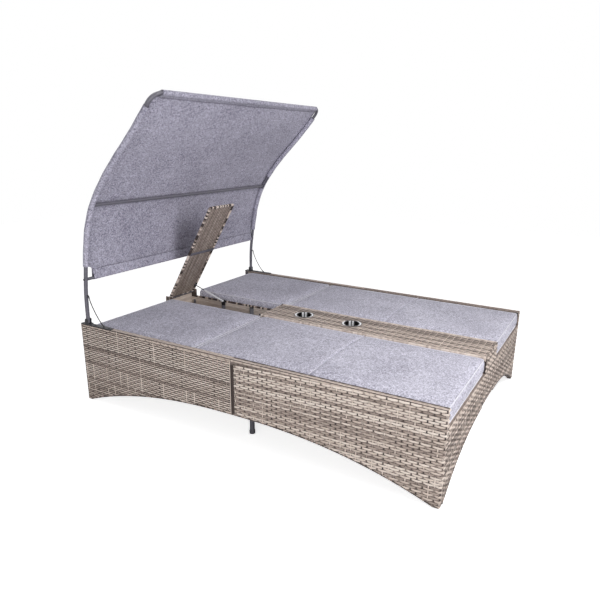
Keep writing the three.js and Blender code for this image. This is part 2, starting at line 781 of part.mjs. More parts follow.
// Drawn in the lid's closed position, about the hinge axis
function strutUpperBracket() {
  const open = new THREE.Vector2(strutUpperY - lidHingeY, strutUpperZ - lidHingeZ);
  const closed = open.rotateAround(new THREE.Vector2(), THREE.MathUtils.degToRad(lidOpenAngle));
  const borderX = lidWidth / 2 - lidBorder - gap;
  const plateTopZ = lidTopRise - lidSheet - gap;
  const plate = box(strutPlateX, borderX, closed.x - strutPlateLength / 2, closed.x + strutPlateLength / 2,
    closed.y - strutSocketRadius, plateTopZ);
  const stud = rodX(strutStudRadius, tubeSides, strutStudX, borderX, closed.x, closed.y);
  return join(plate, stud);
}

function alongStrut(solid) {
  const geometry = toGeometry(solid);
  geometry.rotateX(strutAngle).translate(strutX, strutLowerY, strutLowerZ);
  return toSolid(geometry);
}

function strutCylinder() {
  const start = strutSocketRadius;
  const end = start + strutCylinderLength;
  const bore = alongY(circlePoints(strutBoreRadius, tubeSides), 2 * start, end + overrun);
  const tube = alongY(circlePoints(strutCylinderRadius, tubeSides), start / 2, end).subtract(bore);
  const socket = rodX(strutSocketRadius, tubeSides, -strutSocketWidth / 2, strutSocketWidth / 2, 0, 0);
  return alongStrut(join(tube, socket));
}

function strutRod() {
  const end = strutSocketRadius + strutCylinderLength;
  const rod = alongY(circlePoints(strutRodRadius, tubeSides), end - strutRodInside, strutRun - strutRodSeat);
  const socket = rodX(strutSocketRadius, tubeSides, -strutSocketWidth / 2, strutSocketWidth / 2, strutRun, 0);
  return alongStrut(join(rod, socket));
}

addPiece('strut_lower_bracket', strutLowerBracket(), 'black');
addPiece('strut_upper_bracket', strutUpperBracket(), 'black', lidGroup);
addPiece('strut_cylinder', strutCylinder(), 'stainless');
addPiece('strut_rod', strutRod(), 'frame');

// Canopy side tubes: one curve in the plane beside each rim

const sideCurve = new THREE.CatmullRomCurve3(sideTubeShares.map(([reach, rise]) =>
  new THREE.Vector3(0, postY - reach * canopyReach, postBottomZ + rise * canopyRise)), false, 'centripetal');
const sideCurveLength = sideCurve.getLength();
const across = new THREE.Vector3(1, 0, 0);
const curveTries = 40;
const curveStations = 26;

function shareAtHeight(z) {
  let low = 0;
  let high = 1;
  for (let i = 0; i < curveTries; i += 1) {
    const middle = (low + high) / 2;
    if (sideCurve.getPointAt(middle).z < z) low = middle;
    else high = middle;
  }
  return (low + high) / 2;
}

function stationAt(share, x = 0) {
  const origin = sideCurve.getPointAt(share);
  const out = sideCurve.getTangentAt(share).cross(across).normalize();
  origin.x = x;
  return { origin, across, out };
}

// Tubes and sleeves share one row of stations along the curve, so that they stay concentric
function stationsBetween(share0, share1, x = 0) {
  const margin = 1 / curveStations / 4;
  const inner = Array.from({ length: curveStations }, (_, i) => i / curveStations)
    .filter((share) => share > share0 + margin && share < share1 - margin);
  return [share0, ...inner, share1].map((share) => stationAt(share, x));
}

const jointShare = shareAtHeight(canopyJointZ);
const lowBarShare = shareAtHeight(lowBarZ);
const midBarShare = shareAtHeight(midBarZ);
const cablePostShare = shareAtHeight(cablePostZ);
const bendShare = 1 - topBendRadius / sideCurveLength;
const bendSteps = 6;

function boltHead(side, share) {
  const { origin } = stationAt(share);
  const innerX = side.sign * (postX + postRadius - tubeWall / 2);
  return rodX(canopyBoltRadius, tubeSides, innerX, side.sign * (postX + postRadius + canopyBoltHeight),
    origin.y, origin.z);
}

function canopyPost(side) {
  const x = side.sign * postX;
  const stations = stationsBetween(0, jointShare, x);
  const bore = circlePoints(postRadius - canopyTubeWall, tubeSides).reverse();
  let post = sweep(circlePoints(postRadius, tubeSides), [bore], stations);
  const eye = stationAt(cablePostShare).origin;
  const lugTip = eye.y - postRadius - cableLugLength;
  const lug = alongY(circlePoints(cableLugRadius, tubeSides, x, eye.z), lugTip, eye.y - postRadius + tubeWall / 2);
  post = join(post, boltHead(side, lowBarShare), lug);
  const pinHole = rodX(canopyPinBoreRadius, tubeSides, x - postRadius - overrun, x + postRadius + overrun,
    postY, canopyPivotZ);
  return post.subtract(pinHole);
}

// The arm runs on from the post, turns through the top corner and meets the top bar
function canopyArm(side) {
  const x = side.sign * postX;
  const armStart = jointShare + gap / sideCurveLength;
  const stations = stationsBetween(armStart, bendShare, x);
  const bendStart = stationAt(bendShare, x);
  const forward = sideCurve.getTangentAt(bendShare);
  for (let i = 1; i <= bendSteps; i += 1) {
    const angle = Math.PI / 2 * i / bendSteps;
    const origin = bendStart.origin.clone().addScaledVector(forward, topBendRadius * Math.sin(angle));
    origin.x -= side.sign * topBendRadius * (1 - Math.cos(angle));
    const turned = across.clone().multiplyScalar(Math.cos(angle));
    turned.addScaledVector(forward, side.sign * Math.sin(angle));
    stations.push({ origin, across: turned, out: bendStart.out });
  }
  const bore = circlePoints(armRadius - canopyTubeWall, tubeSides).reverse();
  const arm = sweep(circlePoints(armRadius, tubeSides), [bore], stations);
  const spigotShare = spigotLength / sideCurveLength;
  const spigotStations = stationsBetween(armStart - spigotShare, armStart + spigotShare / 2, x);
  const spigotBore = circlePoints(spigotRadius - canopyTubeWall, tubeSides).reverse();
  const spigot = sweep(circlePoints(spigotRadius, tubeSides), [spigotBore], spigotStations);
  return join(arm, spigot);
}

const topBarAt = stationAt(bendShare).origin.addScaledVector(sideCurve.getTangentAt(bendShare), topBendRadius);
const topBarEndX = postX - topBendRadius - gap;

function crossBar(radius, centre, endX) {
  const bore = circlePoints(radius - canopyTubeWall, tubeSides, centre.y, centre.z);
  return alongX(circlePoints(radius, tubeSides, centre.y, centre.z), -endX, endX, [bore]);
}

const barEndX = postX - postRadius - gap;

for (const side of sides) {
  addPiece(`canopy_post_${side.name}`, canopyPost(side), 'canopyTube');
  addPiece(`canopy_arm_${side.name}`, canopyArm(side), 'canopyTube');
}
addPiece('canopy_top_bar', crossBar(armRadius, topBarAt, topBarEndX), 'canopyTube');
addPiece('canopy_mid_bar', crossBar(midBarRadius, stationAt(midBarShare).origin, barEndX), 'canopyTube');
addPiece('canopy_low_bar', crossBar(lowBarRadius, stationAt(lowBarShare).origin, barEndX), 'canopyTube');

// Canopy cloth: one sheet over the outside of the frame, with a sleeve round each side tube, a hem
// round the low bar and a pocket round the top bar

function clothSection() {
  const sheetOut = sleeveOuter;
  const sheetIn = sleeveOuter - clothThickness;
  const meet = Math.asin(sheetIn / sleeveOuter);
  const arc = (centreX, from, to) => Array.from({ length: sleeveSides }, (_, i) => {
    const angle = from + (to - from) * i / (sleeveSides - 1);
    return [centreX + sleeveOuter * Math.cos(angle), sleeveOuter * Math.sin(angle)];
  });
  const sag = (share) => clothSag * (1 - share * share);
  const outside = [...clothSpanShares].reverse().map((share) => [share * postX, sheetOut - sag(share)]);
  const inside = clothSpanShares.map((share) => [share * postX, sheetIn - sag(share)]);
  const quarter = Math.PI / 2;
  const turn = 2 * Math.PI;
  const contour = [...outside, ...arc(-postX, quarter, turn + meet), ...inside,
    ...arc(postX, Math.PI - meet, turn + quarter)];
  const holes = [-postX, postX].map((x) => circlePoints(sleeveInner, sleeveSides, x, 0).reverse());
  return { contour, holes };
}

// A strip of cloth between two stations, each given with its inner and outer offsets
function clothStrip(share0, offset0, share1, offset1, halfSpan) {
  const at = (share, offset) => {
    const { origin, out } = stationAt(share);
    const point = origin.addScaledVector(out, offset);
    return [point.y, point.z];
  };
  return alongX([at(share0, offset0), at(share0, offset0 + clothThickness), at(share1, offset1 + clothThickness),
    at(share1, offset1)], -halfSpan, halfSpan);
}

function clothTube(centre, inner, halfSpan) {
  const outer = circlePoints(inner + clothThickness, tubeSides, centre.y, centre.z);
  return alongX(outer, -halfSpan, halfSpan, [circlePoints(inner, tubeSides, centre.y, centre.z)]);
}

function canopyCloth() {
  const { contour, holes } = clothSection();
  const startShare = shareAtHeight(sleeveBottomZ);
  const endShare = 1 - topSleeveEnd / sideCurveLength;
  const overlapShare = clothOverlap / sideCurveLength;
  const sheet = sweep(contour, holes, stationsBetween(startShare, endShare));
  const sheetIn = sleeveOuter - clothThickness - clothSag;
  const hemTube = clothTube(stationAt(lowBarShare).origin, hemInner, hemHalfWidth);
  const hem = clothStrip(lowBarShare, hemInner, startShare + overlapShare, sheetIn + clothSag, hemHalfWidth);
  const topTube = clothTube(topBarAt, topPocketInner, topPocketHalfWidth);
  const top = clothStrip(endShare - overlapShare, sheetIn + clothSag, 1, topPocketInner, topPocketHalfWidth);
  let cloth = join(sheet, hemTube, hem, topTube, top);
  const lowBore = rodX(hemInner, tubeSides, -halfWidth, halfWidth, stationAt(lowBarShare).origin.y, lowBarZ);
  const topBore = rodX(topPocketInner, tubeSides, -halfWidth, halfWidth, topBarAt.y, topBarAt.z);
  cloth = cloth.subtract(lowBore).subtract(topBore);
  const midBar = stationAt(midBarShare).origin;
  for (const side of sides) {
    const notch = rodX(sleeveNotchRadius, tubeSides, side.sign * sleeveNotchInnerX, side.sign * postX,
      midBar.y, midBar.z);
    cloth = cloth.subtract(notch);
  }
  return cloth;
}

addPiece('canopy_cloth', canopyCloth(), 'canopyCloth');

// Base plates, pivot bolts and stay cables

const plateBottomZ = rimHeight + gap;
const plateTopZ = plateBottomZ + plateThickness;

function canopyPlate(side) {
  const outerX = side.sign * (halfWidth - plateInset);
  const tongueX = outerX - side.sign * plateTongueWidth;
  const padX = side.sign * (cushionSideX + gap);
  const tongue = box(tongueX, outerX, plateFrontY, halfLength - plateInset, plateBottomZ, plateTopZ);
  const pad = box(padX, outerX, platePadFrontY, halfLength - plateInset, plateBottomZ, plateTopZ);
  const earTopZ = canopyPivotZ + earHalfWidth;
  const ear = (x0) => {
    const x1 = x0 + side.sign * earThickness;
    const foot = box(x0, x1, postY - earHalfWidth, postY + earHalfWidth, plateTopZ - plateThickness / 2,
      canopyPivotZ);
    return join(foot, rodX(earTopZ - canopyPivotZ, tubeSides, x0, x1, postY, canopyPivotZ));
  };
  const postFace = postRadius + gap;
  const outerEar = ear(side.sign * (postX + postFace));
  const innerEar = ear(side.sign * (postX - postFace - earThickness));
  const lug = alongZ(circlePoints(cableLugRadius, tubeSides, side.sign * postX, cablePlateY),
    plateTopZ - plateThickness / 2, plateTopZ + cablePlateLugHeight);
  const screws = plateScrewInsets.map((inset) => alongZ(circlePoints(plateScrewRadius, tubeSides,
    outerX - side.sign * plateTongueWidth / 2, halfLength - inset), plateTopZ - plateThickness / 2, plateTopZ + plateScrewHeight));
  const bore = rodX(canopyPinBoreRadius, tubeSides, side.sign * (postX - plateTongueWidth),
    side.sign * (postX + plateTongueWidth), postY, canopyPivotZ);
  return join(tongue, pad, outerEar, innerEar, lug, ...screws).subtract(bore);
}

function canopyPin(side) {
  const reach = postRadius + gap + earThickness + gap;
  const x = side.sign * postX;
  const shaft = rodX(canopyPinRadius, tubeSides, x - reach - pinHeadThickness, x + reach, postY, canopyPivotZ);
  const head = rodX(pinHeadRadius, tubeSides, x - side.sign * reach,
    x - side.sign * (reach + pinHeadThickness), postY, canopyPivotZ);
  return side.sign > 0 ? join(shaft, head) : join(head, rodX(canopyPinRadius, tubeSides, x - reach,
    x + reach, postY, canopyPivotZ));
}

function stayCable(side) {
  const x = side.sign * postX;
  const eye = stationAt(cablePostShare).origin;
  const startY = eye.y - postRadius - cableLugLength - cableEndGap;
  const endY = cablePlateY + cableLugRadius + cableEndGap;
  const endZ = plateTopZ + cablePlateLugHeight - cableRadius;
  const points = cableRouteShares.map(([run, drop]) => new THREE.Vector3(x, startY + (endY - startY) * run,
    eye.z + (endZ - eye.z) * drop));
  const route = new THREE.CatmullRomCurve3(points, false, 'centripetal');
  const section = shapeOf(circlePoints(cableRadius, cableSides));
  const geometry = new THREE.ExtrudeGeometry(section, { steps: cableSteps, extrudePath: route,
    bevelEnabled: false });
  return toSolid(geometry);
}

for (const side of sides) {
  addPiece(`canopy_plate_${side.name}`, canopyPlate(side), 'frame');
  addPiece(`canopy_pin_${side.name}`, canopyPin(side), 'black');
  addPiece(`stay_cable_${side.name}`, stayCable(side), 'cable');
}

export default daybed;
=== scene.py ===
from math import cos, pi, radians, sin

import bmesh
import bpy
import numpy as np
from mathutils import Matrix, Vector


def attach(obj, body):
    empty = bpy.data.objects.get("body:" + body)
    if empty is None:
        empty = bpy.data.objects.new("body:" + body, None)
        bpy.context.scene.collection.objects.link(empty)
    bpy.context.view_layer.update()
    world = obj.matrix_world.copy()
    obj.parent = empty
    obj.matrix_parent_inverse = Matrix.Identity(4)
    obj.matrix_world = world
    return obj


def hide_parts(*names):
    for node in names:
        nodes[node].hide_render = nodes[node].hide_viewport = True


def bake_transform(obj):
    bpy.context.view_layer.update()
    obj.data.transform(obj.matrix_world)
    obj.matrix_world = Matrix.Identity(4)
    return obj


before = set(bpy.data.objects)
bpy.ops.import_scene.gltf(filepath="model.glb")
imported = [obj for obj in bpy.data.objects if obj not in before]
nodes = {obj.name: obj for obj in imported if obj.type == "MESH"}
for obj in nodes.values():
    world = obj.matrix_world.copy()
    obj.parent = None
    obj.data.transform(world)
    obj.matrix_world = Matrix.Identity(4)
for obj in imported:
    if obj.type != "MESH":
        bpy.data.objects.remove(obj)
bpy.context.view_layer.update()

sides = [("Left", "left", -1), ("Right", "right", 1)]
ends = [("Foot", "foot", -1), ("Head", "head", 1)]
print("stage: frame loaded")


# helpers for arrays and meshes

def unit(vectors):
    return vectors / np.linalg.norm(vectors, axis=-1, keepdims=True)


def stacked(*parts):
    # coordinates side by side, each given as an array or as one number
    return np.stack(np.broadcast_arrays(*parts), -1)


def between(start, stop, count):
    return np.stack([np.linspace(a, b, count) for a, b in zip(start, stop)], -1)


def measured(points):
    # length along a row of points
    return np.concatenate([[0], np.cumsum(np.linalg.norm(np.diff(points, axis=0), axis=1))])


def resample(points, distances):
    along = measured(points)
    return np.stack([np.interp(distances, along, points[:, axis]) for axis in range(points.shape[1])], -1)


def gridQuads(rows, columns, ringRows=False, ringColumns=False):
    # faces of a grid of points, row by row; where it is a ring, the last row or column joins the first
    i, k = np.meshgrid(np.arange(rows - (not ringRows)), np.arange(columns - (not ringColumns)),
                       indexing="ij")
    nextI, nextK = (i + 1) % rows, (k + 1) % columns
    return stacked(i * columns + k, i * columns + nextK, nextI * columns + nextK, nextI * columns + k)


def capFans(rows, columns):
    # fans that close both ends of a tube of points; its two end centres come after the grid
    k = np.arange(columns)
    nextK, tail = (k + 1) % columns, (rows - 1) * columns
    centre = rows * columns
    return np.concatenate([stacked(centre, nextK, k), stacked(centre + 1, tail + k, tail + nextK)])


def addObject(name, data):
    obj = bpy.data.objects.new(name, data)
    bpy.context.scene.collection.objects.link(obj)
    return obj


def addMesh(name, verts, quads, tris=(), uv=None, values=None, smooth=True):
    # whole arrays go straight into the mesh; uv and values are given per vertex
    mesh = bpy.data.meshes.new(name)
    verts = np.asarray(verts, np.float32).reshape(-1, 3)
    quads, tris = np.asarray(quads, int).reshape(-1, 4), np.asarray(tris, int).reshape(-1, 3)
    corners = np.concatenate([quads.ravel(), tris.ravel()])
    starts = np.concatenate([np.arange(len(quads)) * 4, len(quads) * 4 + np.arange(len(tris)) * 3])
    mesh.vertices.add(len(verts))
    mesh.vertices.foreach_set("co", verts.ravel())
    mesh.loops.add(len(corners))
    mesh.loops.foreach_set("vertex_index", corners.astype(np.int32))
    mesh.polygons.add(len(starts))
    mesh.polygons.foreach_set("loop_start", starts.astype(np.int32))
    mesh.update(calc_edges=True)
    if uv is not None:
        layer = mesh.uv_layers.new(name="surface")
        layer.data.foreach_set("uv", np.asarray(uv, np.float32).reshape(-1, 2)[corners].ravel())
    for label, column in (values or {}).items():
        data = mesh.attributes.new(label, "FLOAT", "POINT").data
        data.foreach_set("value", np.asarray(column, np.float32).ravel())
    mesh.validate()
    mesh.polygons.foreach_set("use_smooth", np.full(len(mesh.polygons), smooth))
    return addObject(name, mesh)


def readPoints(obj):
    points = np.empty(len(obj.data.vertices) * 3, np.float32)
    obj.data.vertices.foreach_get("co", points)
    return points.reshape(-1, 3)


def writePoints(obj, points):
    obj.data.vertices.foreach_set("co", points.astype(np.float32).ravel())
    obj.data.update()


def dress(obj, material, slot, body="base", replaced=()):
    obj.data.materials.clear()
    obj.data.materials.append(materials[material])
    if body:
        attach(obj, body)
    if replaced:
        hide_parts(*replaced)
    return obj


def editMesh(obj, sharpAngle=None, facets=False):
    # turns every face outwards and marks the edges that stay sharp; a CAD solid's facets are merged first
    work = bmesh.new()
    work.from_mesh(obj.data)
    if facets:
        bmesh.ops.remove_doubles(work, verts=work.verts, dist=0.00002)
        bmesh.ops.dissolve_limit(work, angle_limit=radians(1), verts=work.verts, edges=work.edges)
    bmesh.ops.recalc_face_normals(work, faces=work.faces)
    work.to_mesh(obj.data)
    work.free()
    if sharpAngle is not None:
        obj.data.polygons.foreach_set("use_smooth", np.full(len(obj.data.polygons), True))
        obj.data.set_sharp_from_angle(angle=radians(sharpAngle))
    return obj


def soften(obj):
    smooth = obj.modifiers.new("softer", "SUBSURF")
    smooth.levels = smooth.render_levels = 1


def joinMeshes(name, parts):
    # one object out of several, keeping uv and values
    with bpy.context.temp_override(active_object=parts[0], selected_editable_objects=parts):
        bpy.ops.object.join()
    parts[0].name = parts[0].data.name = name
    return parts[0]


def circle(radius, count=24):
    angle = np.linspace(0, 2 * pi, count, endpoint=False)
    return stacked(radius * np.cos(angle), radius * np.sin(angle))


def roundedBox(width, height, radius, perCorner=3):
    # outline of a rectangle with round corners, centred on the origin
    turn = np.linspace(0, pi / 2, perCorner)
    rows = []
    for quarter, (sx, sy) in enumerate([(1, 1), (-1, 1), (-1, -1), (1, -1)]):
        angle = turn + quarter * pi / 2
        centre = np.array([sx * (width / 2 - radius), sy * (height / 2 - radius)])
        rows.append(centre + radius * stacked(np.cos(angle), np.sin(angle)))
    return np.concatenate(rows)


def sweep(name, path, outs, profile, ring=False, values=None):
    # a closed profile of (across, out) offsets carried along a path; profile may change per station
    path = np.asarray(path, float)
    tangent = unit(np.roll(path, -1, 0) - np.roll(path, 1, 0) if ring else np.gradient(path, axis=0))
    outs = np.broadcast_to(np.asarray(outs, float), path.shape)
    outs = unit(outs - tangent * np.sum(outs * tangent, axis=1, keepdims=True))
    across = np.cross(tangent, outs)
    count, points = len(path), profile.shape[-2]
    profile = np.broadcast_to(profile, (count, points, 2))
    grid = path[:, None] + across[:, None] * profile[..., :1] + outs[:, None] * profile[..., 1:]
    verts, tris = grid.reshape(-1, 3), ()
    uv = stacked(measured(path)[:, None], np.linspace(0, 1, points))
    tips = [] if ring else [0, -1]
    values = {label: np.concatenate([np.repeat(column, points), column[tips]])
              for label, column in (values or {}).items()}
    if not ring:
        verts = np.concatenate([verts, grid[tips].mean(axis=1)])
        uv = np.concatenate([uv.reshape(-1, 2), uv[tips, 0]])
        tris = capFans(count, points)
    return editMesh(addMesh(name, verts, gridQuads(count, points, ring, True), tris, uv, values))


def revolve(name, profile, centre, axis=(0, 0, 1), count=40, sharpAngle=40):
    # a profile of (radius, height) points turned about an axis; its ends lie on the axis
    profile = np.asarray(profile, float)
    rings = profile[1:-1]
    turned = circle(1.0, count)
    verts = stacked(rings[:, :1] * turned[:, 0], rings[:, :1] * turned[:, 1], rings[:, 1:]).reshape(-1, 3)
    poles = np.array([[0, 0, profile[0, 1]], [0, 0, profile[-1, 1]]])
    turn = Vector((0, 0, 1)).rotation_difference(Vector(axis)).to_matrix()
    verts = np.concatenate([verts, poles]) @ np.array(turn).T + np.asarray(centre, float)
    obj = addMesh(name, verts, gridQuads(len(rings), count, False, True), capFans(len(rings), count))
    return editMesh(obj, sharpAngle)


def block(name, low, high, outs, wide, deep, radius, *dressing):
    # a straight bar with round corners between two points
    return dress(sweep(name, [low, high], outs, roundedBox(wide, deep, radius)), *dressing)


def polished(node, name, material, slot, body="base", bevel=0.0008, sharpAngle=35):
    # a merged copy of a rigid solid, with its edges broken, stands for the node
    obj = addObject(name, nodes[node].data.copy())
    obj.data.name = name
    editMesh(obj, sharpAngle, facets=True)
    edge = obj.modifiers.new("brokenEdge", "BEVEL")
    edge.width = bevel
    edge.segments = 2
    edge.limit_method = "ANGLE"
    edge.angle_limit = radians(sharpAngle)
    edge.use_clamp_overlap = True
    return dress(obj, material, slot, body, [node])


# camera, fitted to the photo

cameraSetup = {
    "position": (-2.7085, -1.4817, 1.4237), "azimuth": -62.62, "elevation": 17.14, "roll": 1.35,
    "focal": 569.6, "centre": (326.8, 311.4), "imageWidth": 600, "sensor": 36.0, "clip": (0.05, 60)}


def addCamera(setup):
    azimuth, elevation, roll = (radians(setup[key]) for key in ("azimuth", "elevation", "roll"))
    back = Vector((sin(azimuth) * cos(elevation), -cos(azimuth) * cos(elevation), sin(elevation)))
    right = Vector((cos(azimuth), sin(azimuth), 0))
    up = back.cross(right)
    turn = Matrix((right * cos(roll) + up * sin(roll), up * cos(roll) - right * sin(roll), back)).transposed()
    data = bpy.data.cameras.new("photoCamera")
    width = setup["imageWidth"]
    data.sensor_fit = "HORIZONTAL"
    data.sensor_width = setup["sensor"]
    data.lens = setup["focal"] * setup["sensor"] / width
    data.shift_x = (width / 2 - setup["centre"][0]) / width
    data.shift_y = (setup["centre"][1] - width / 2) / width
    data.clip_start, data.clip_end = setup["clip"]
    camera = addObject("photoCamera", data)
    camera.matrix_world = Matrix.Translation(setup["position"]) @ turn.to_4x4()
    bpy.context.scene.camera = camera


addCamera(cameraSetup)
print("stage: camera")


# materials

def srgb(*colour):
    # display values 0-255 to the linear colour that a shader takes
    value = np.array(colour) / 255
    linear = np.where(value <= 0.04045, value / 12.92, ((value + 0.055) / 1.055) ** 2.4)
    return (*linear.tolist(), 1.0)


def setInputs(tree, node, values):
    # every input is linked to a socket or given a plain value
    for key, value in values.items():
        if isinstance(value, bpy.types.NodeSocket):
            tree.links.new(value, node.inputs[key])
        else:
            node.inputs[key].default_value = value
    return node.outputs


def addNode(tree, kind, inputs=None, **settings):
    node = tree.nodes.new("ShaderNode" + kind)
    for key, value in settings.items():
        setattr(node, key, value)
    return setInputs(tree, node, inputs or {})


def math(tree, operation, *values):
    return addNode(tree, "Math", dict(enumerate(values)), operation=operation)[0]


def scaleAdd(tree, value, factor, offset):
    return math(tree, "MULTIPLY_ADD", value, factor, offset)


def vary(tree, value, amount, level):
    # level + amount * (value - 0.5)
    return scaleAdd(tree, math(tree, "SUBTRACT", value, 0.5), amount, level)


def spread(tree, value, low, high):
    return addNode(tree, "MapRange", {"Value": value, "From Min": low, "From Max": high})[0]


def noise(tree, vector, scale, detail, roughness, stretch=None, distortion=0.0):
    # noise over a vector, stretched by three factors where they are given
    if stretch:
        vector = addNode(tree, "Mapping", {"Vector": vector, "Scale": stretch})["Vector"]
    return addNode(tree, "TexNoise", {"Vector": vector, "Scale": scale, "Detail": detail,
                                      "Roughness": roughness, "Distortion": distortion})["Fac"]


def objectPoint(tree):
    return addNode(tree, "TexCoord")["Object"]


def rampOf(tree, factor, stops):
    node = tree.nodes.new("ShaderNodeValToRGB")
    points = node.color_ramp.elements
    while len(points) < len(stops):
        points.new(0.5)
    for point, (place, colour) in zip(points, stops):
        point.position = place
        point.color = srgb(*colour)
    return setInputs(tree, node, {"Fac": factor})["Color"]


def blendColour(tree, factor, first, second):
    return addNode(tree, "Mix", {0: factor, 6: first, 7: second}, data_type="RGBA")[2]


def newGroup(name, inputs, outputs):
    # inputs are (name, kind, default) rows, outputs (name, kind) rows
    tree = bpy.data.node_groups.new(name, "ShaderNodeTree")
    for label, kind, value in inputs:
        socket = tree.interface.new_socket(name=label, in_out="INPUT", socket_type="NodeSocket" + kind)
        if value is not None:
            socket.default_value = value
    for label, kind in outputs:
        tree.interface.new_socket(name=label, in_out="OUTPUT", socket_type="NodeSocket" + kind)
    return tree, tree.nodes.new("NodeGroupInput").outputs, tree.nodes.new("NodeGroupOutput")


strandColours = [(0.00, (58, 49, 47)), (0.22, (102, 90, 84)), (0.45, (147, 133, 125)),
                 (0.62, (182, 166, 156)), (0.80, (213, 197, 186)), (1.00, (238, 225, 215))]
boardColours = [(0.32, (112, 99, 88)), (0.5, (143, 130, 117)), (0.68, (166, 152, 138))]


def strandGroup():
    # tone picks a place on the brown-to-beige ramp; streaks run along the strand, patches fade slowly
    tree, given, result = newGroup(
        "wovenStrand",
        [("Surface", "Vector", None), ("Tone", "Float", 0.5), ("Streaks", "Float", 0.2)],
        [("Color", "Color"), ("Roughness", "Float"), ("Height", "Float")])
    streak = noise(tree, given["Surface"], 1.0, 3.0, 0.6, stretch=(38, 900, 1))
    patch = noise(tree, given["Surface"], 1.0, 2.0, 0.5, stretch=(9, 120, 1))
    fibre = noise(tree, given["Surface"], 1.0, 2.0, 0.6, stretch=(120, 2600, 1))
    shift = vary(tree, patch, 0.42, vary(tree, streak, given["Streaks"], given["Tone"]))
    setInputs(tree, result, {"Color": rampOf(tree, shift, strandColours),
                             "Roughness": scaleAdd(tree, streak, 0.22, 0.38),
                             "Height": scaleAdd(tree, fibre, 0.35, streak)})
    return tree


def melangeGroup():
    # soft flecks of two yarns at 3-8 mm, over a plain weave of crossing threads about 1 mm apart
    tree, given, result = newGroup(
        "melangeCloth",
        [("Surface", "Vector", None), ("Dark", "Color", None), ("Light", "Color", None),
         ("Thread", "Float", 0.5)],
        [("Color", "Color"), ("Height", "Float")])
    flecks = noise(tree, given["Surface"], 140.0, 4.0, 0.75)
    clouds = noise(tree, given["Surface"], 55.0, 2.0, 0.5)
    broad = noise(tree, given["Surface"], 4.0, 2.0, 0.5)
    fine = noise(tree, given["Surface"], 1100.0, 2.0, 0.6)
    mixed = scaleAdd(tree, flecks, 0.8, math(tree, "MULTIPLY", clouds, 0.16))
    mixed = scaleAdd(tree, broad, 0.12, scaleAdd(tree, fine, 0.3, mixed))
    colour = blendColour(tree, spread(tree, mixed, 0.57, 0.81), given["Dark"], given["Light"])
    threads = [addNode(tree, "TexWave", {"Vector": given["Surface"], "Scale": 150.0, "Distortion": 1.2,
                                         "Detail": 1.0, "Detail Scale": 1.5},
                       bands_direction=direction)["Fac"] for direction in "XYZ"]
    weave = math(tree, "ADD", math(tree, "ADD", threads[0], threads[1]), threads[2])
    height = scaleAdd(tree, weave, given["Thread"], math(tree, "ADD", flecks, fine))
    setInputs(tree, result, {"Color": colour, "Height": height})
    return tree


def coatGroup():
    # powder coat: a fine orange-peel grain, faint clouds of wear and a little dust where the noise is high
    tree, given, result = newGroup(
        "coatGrain",
        [("Surface", "Vector", None), ("Colour", "Color", None), ("Worn", "Color", None),
         ("Wear", "Float", 0.25), ("Gloss", "Float", 0.4)],
        [("Color", "Color"), ("Roughness", "Float"), ("Height", "Float")])
    grain = noise(tree, given["Surface"], 900.0, 2.0, 0.5)
    clouds = noise(tree, given["Surface"], 22.0, 4.0, 0.65)
    scuffs = noise(tree, given["Surface"], 1.0, 4.0, 0.7, stretch=(60, 300, 60))
    worn = spread(tree, math(tree, "MULTIPLY", clouds, scuffs), 0.2, 0.42)
    worn = math(tree, "MULTIPLY", worn, given["Wear"])
    rough = scaleAdd(tree, clouds, 0.25, math(tree, "SUBTRACT", given["Gloss"], 0.1))
    setInputs(tree, result, {"Color": blendColour(tree, worn, given["Colour"], given["Worn"]),
                             "Roughness": rough, "Height": scaleAdd(tree, scuffs, 0.3, grain)})
    return tree


groups = {"strand": strandGroup(), "cloth": melangeGroup(), "coat": coatGroup()}


def newMaterial(name, **shaderValues):
    material = bpy.data.materials.new(name)
    material.use_nodes = True
    tree = material.node_tree
    shader = tree.nodes["Principled BSDF"]
    setInputs(tree, shader, {key.replace("_", " "): value for key, value in shaderValues.items()})
    return material, tree, shader


def useGroup(tree, group, inputs):
    node = tree.nodes.new("ShaderNodeGroup")
    node.node_tree = groups[group]
    return setInputs(tree, node, inputs)


def shade(tree, shader, colour, roughness, height, distance, strength):
    bump = addNode(tree, "Bump", {"Height": height, "Distance": distance, "Strength": strength})
    setInputs(tree, shader, {"Base Color": colour, "Roughness": roughness, "Normal": bump["Normal"]})


# the panels' inside starts short of these planes, or above the last one, which is the end walls' top
insideX, insideY, insideZ = 0.7525, 0.9905, 0.3518


def strandMaterial(name, tone=None, streaks=0.3, inner=None):
    # tone None: the piece's own strandTone attribute; inner: the tone of faces turned to the bed's inside
    material, tree, shader = newMaterial(name, Specular_IOR_Level=0.35)
    if tone is None:
        surface = addNode(tree, "UVMap", uv_map="surface")["UV"]
        tone = addNode(tree, "Attribute", attribute_name="strandTone")["Fac"]
    else:
        surface = objectPoint(tree)
    if inner is not None:
        axes = addNode(tree, "SeparateXYZ", {"Vector": surface})
        withinX, withinY = (math(tree, "LESS_THAN", math(tree, "ABSOLUTE", axes[axis]), limit)
                            for axis, limit in (("X", insideX), ("Y", insideY)))
        withinY = math(tree, "MAXIMUM", withinY, math(tree, "GREATER_THAN", axes["Z"], insideZ))
        strands = addNode(tree, "TexWave", {"Vector": surface, "Scale": 27.0}, bands_direction="Z")["Fac"]
        level = scaleAdd(tree, strands, 0.30, inner - 0.15 - tone)
        tone = scaleAdd(tree, math(tree, "MULTIPLY", withinX, withinY), level, tone)
    out = useGroup(tree, "strand", {"Surface": surface, "Tone": tone, "Streaks": streaks})
    shade(tree, shader, out["Color"], out["Roughness"], out["Height"], 0.0004, 0.7)
    return material


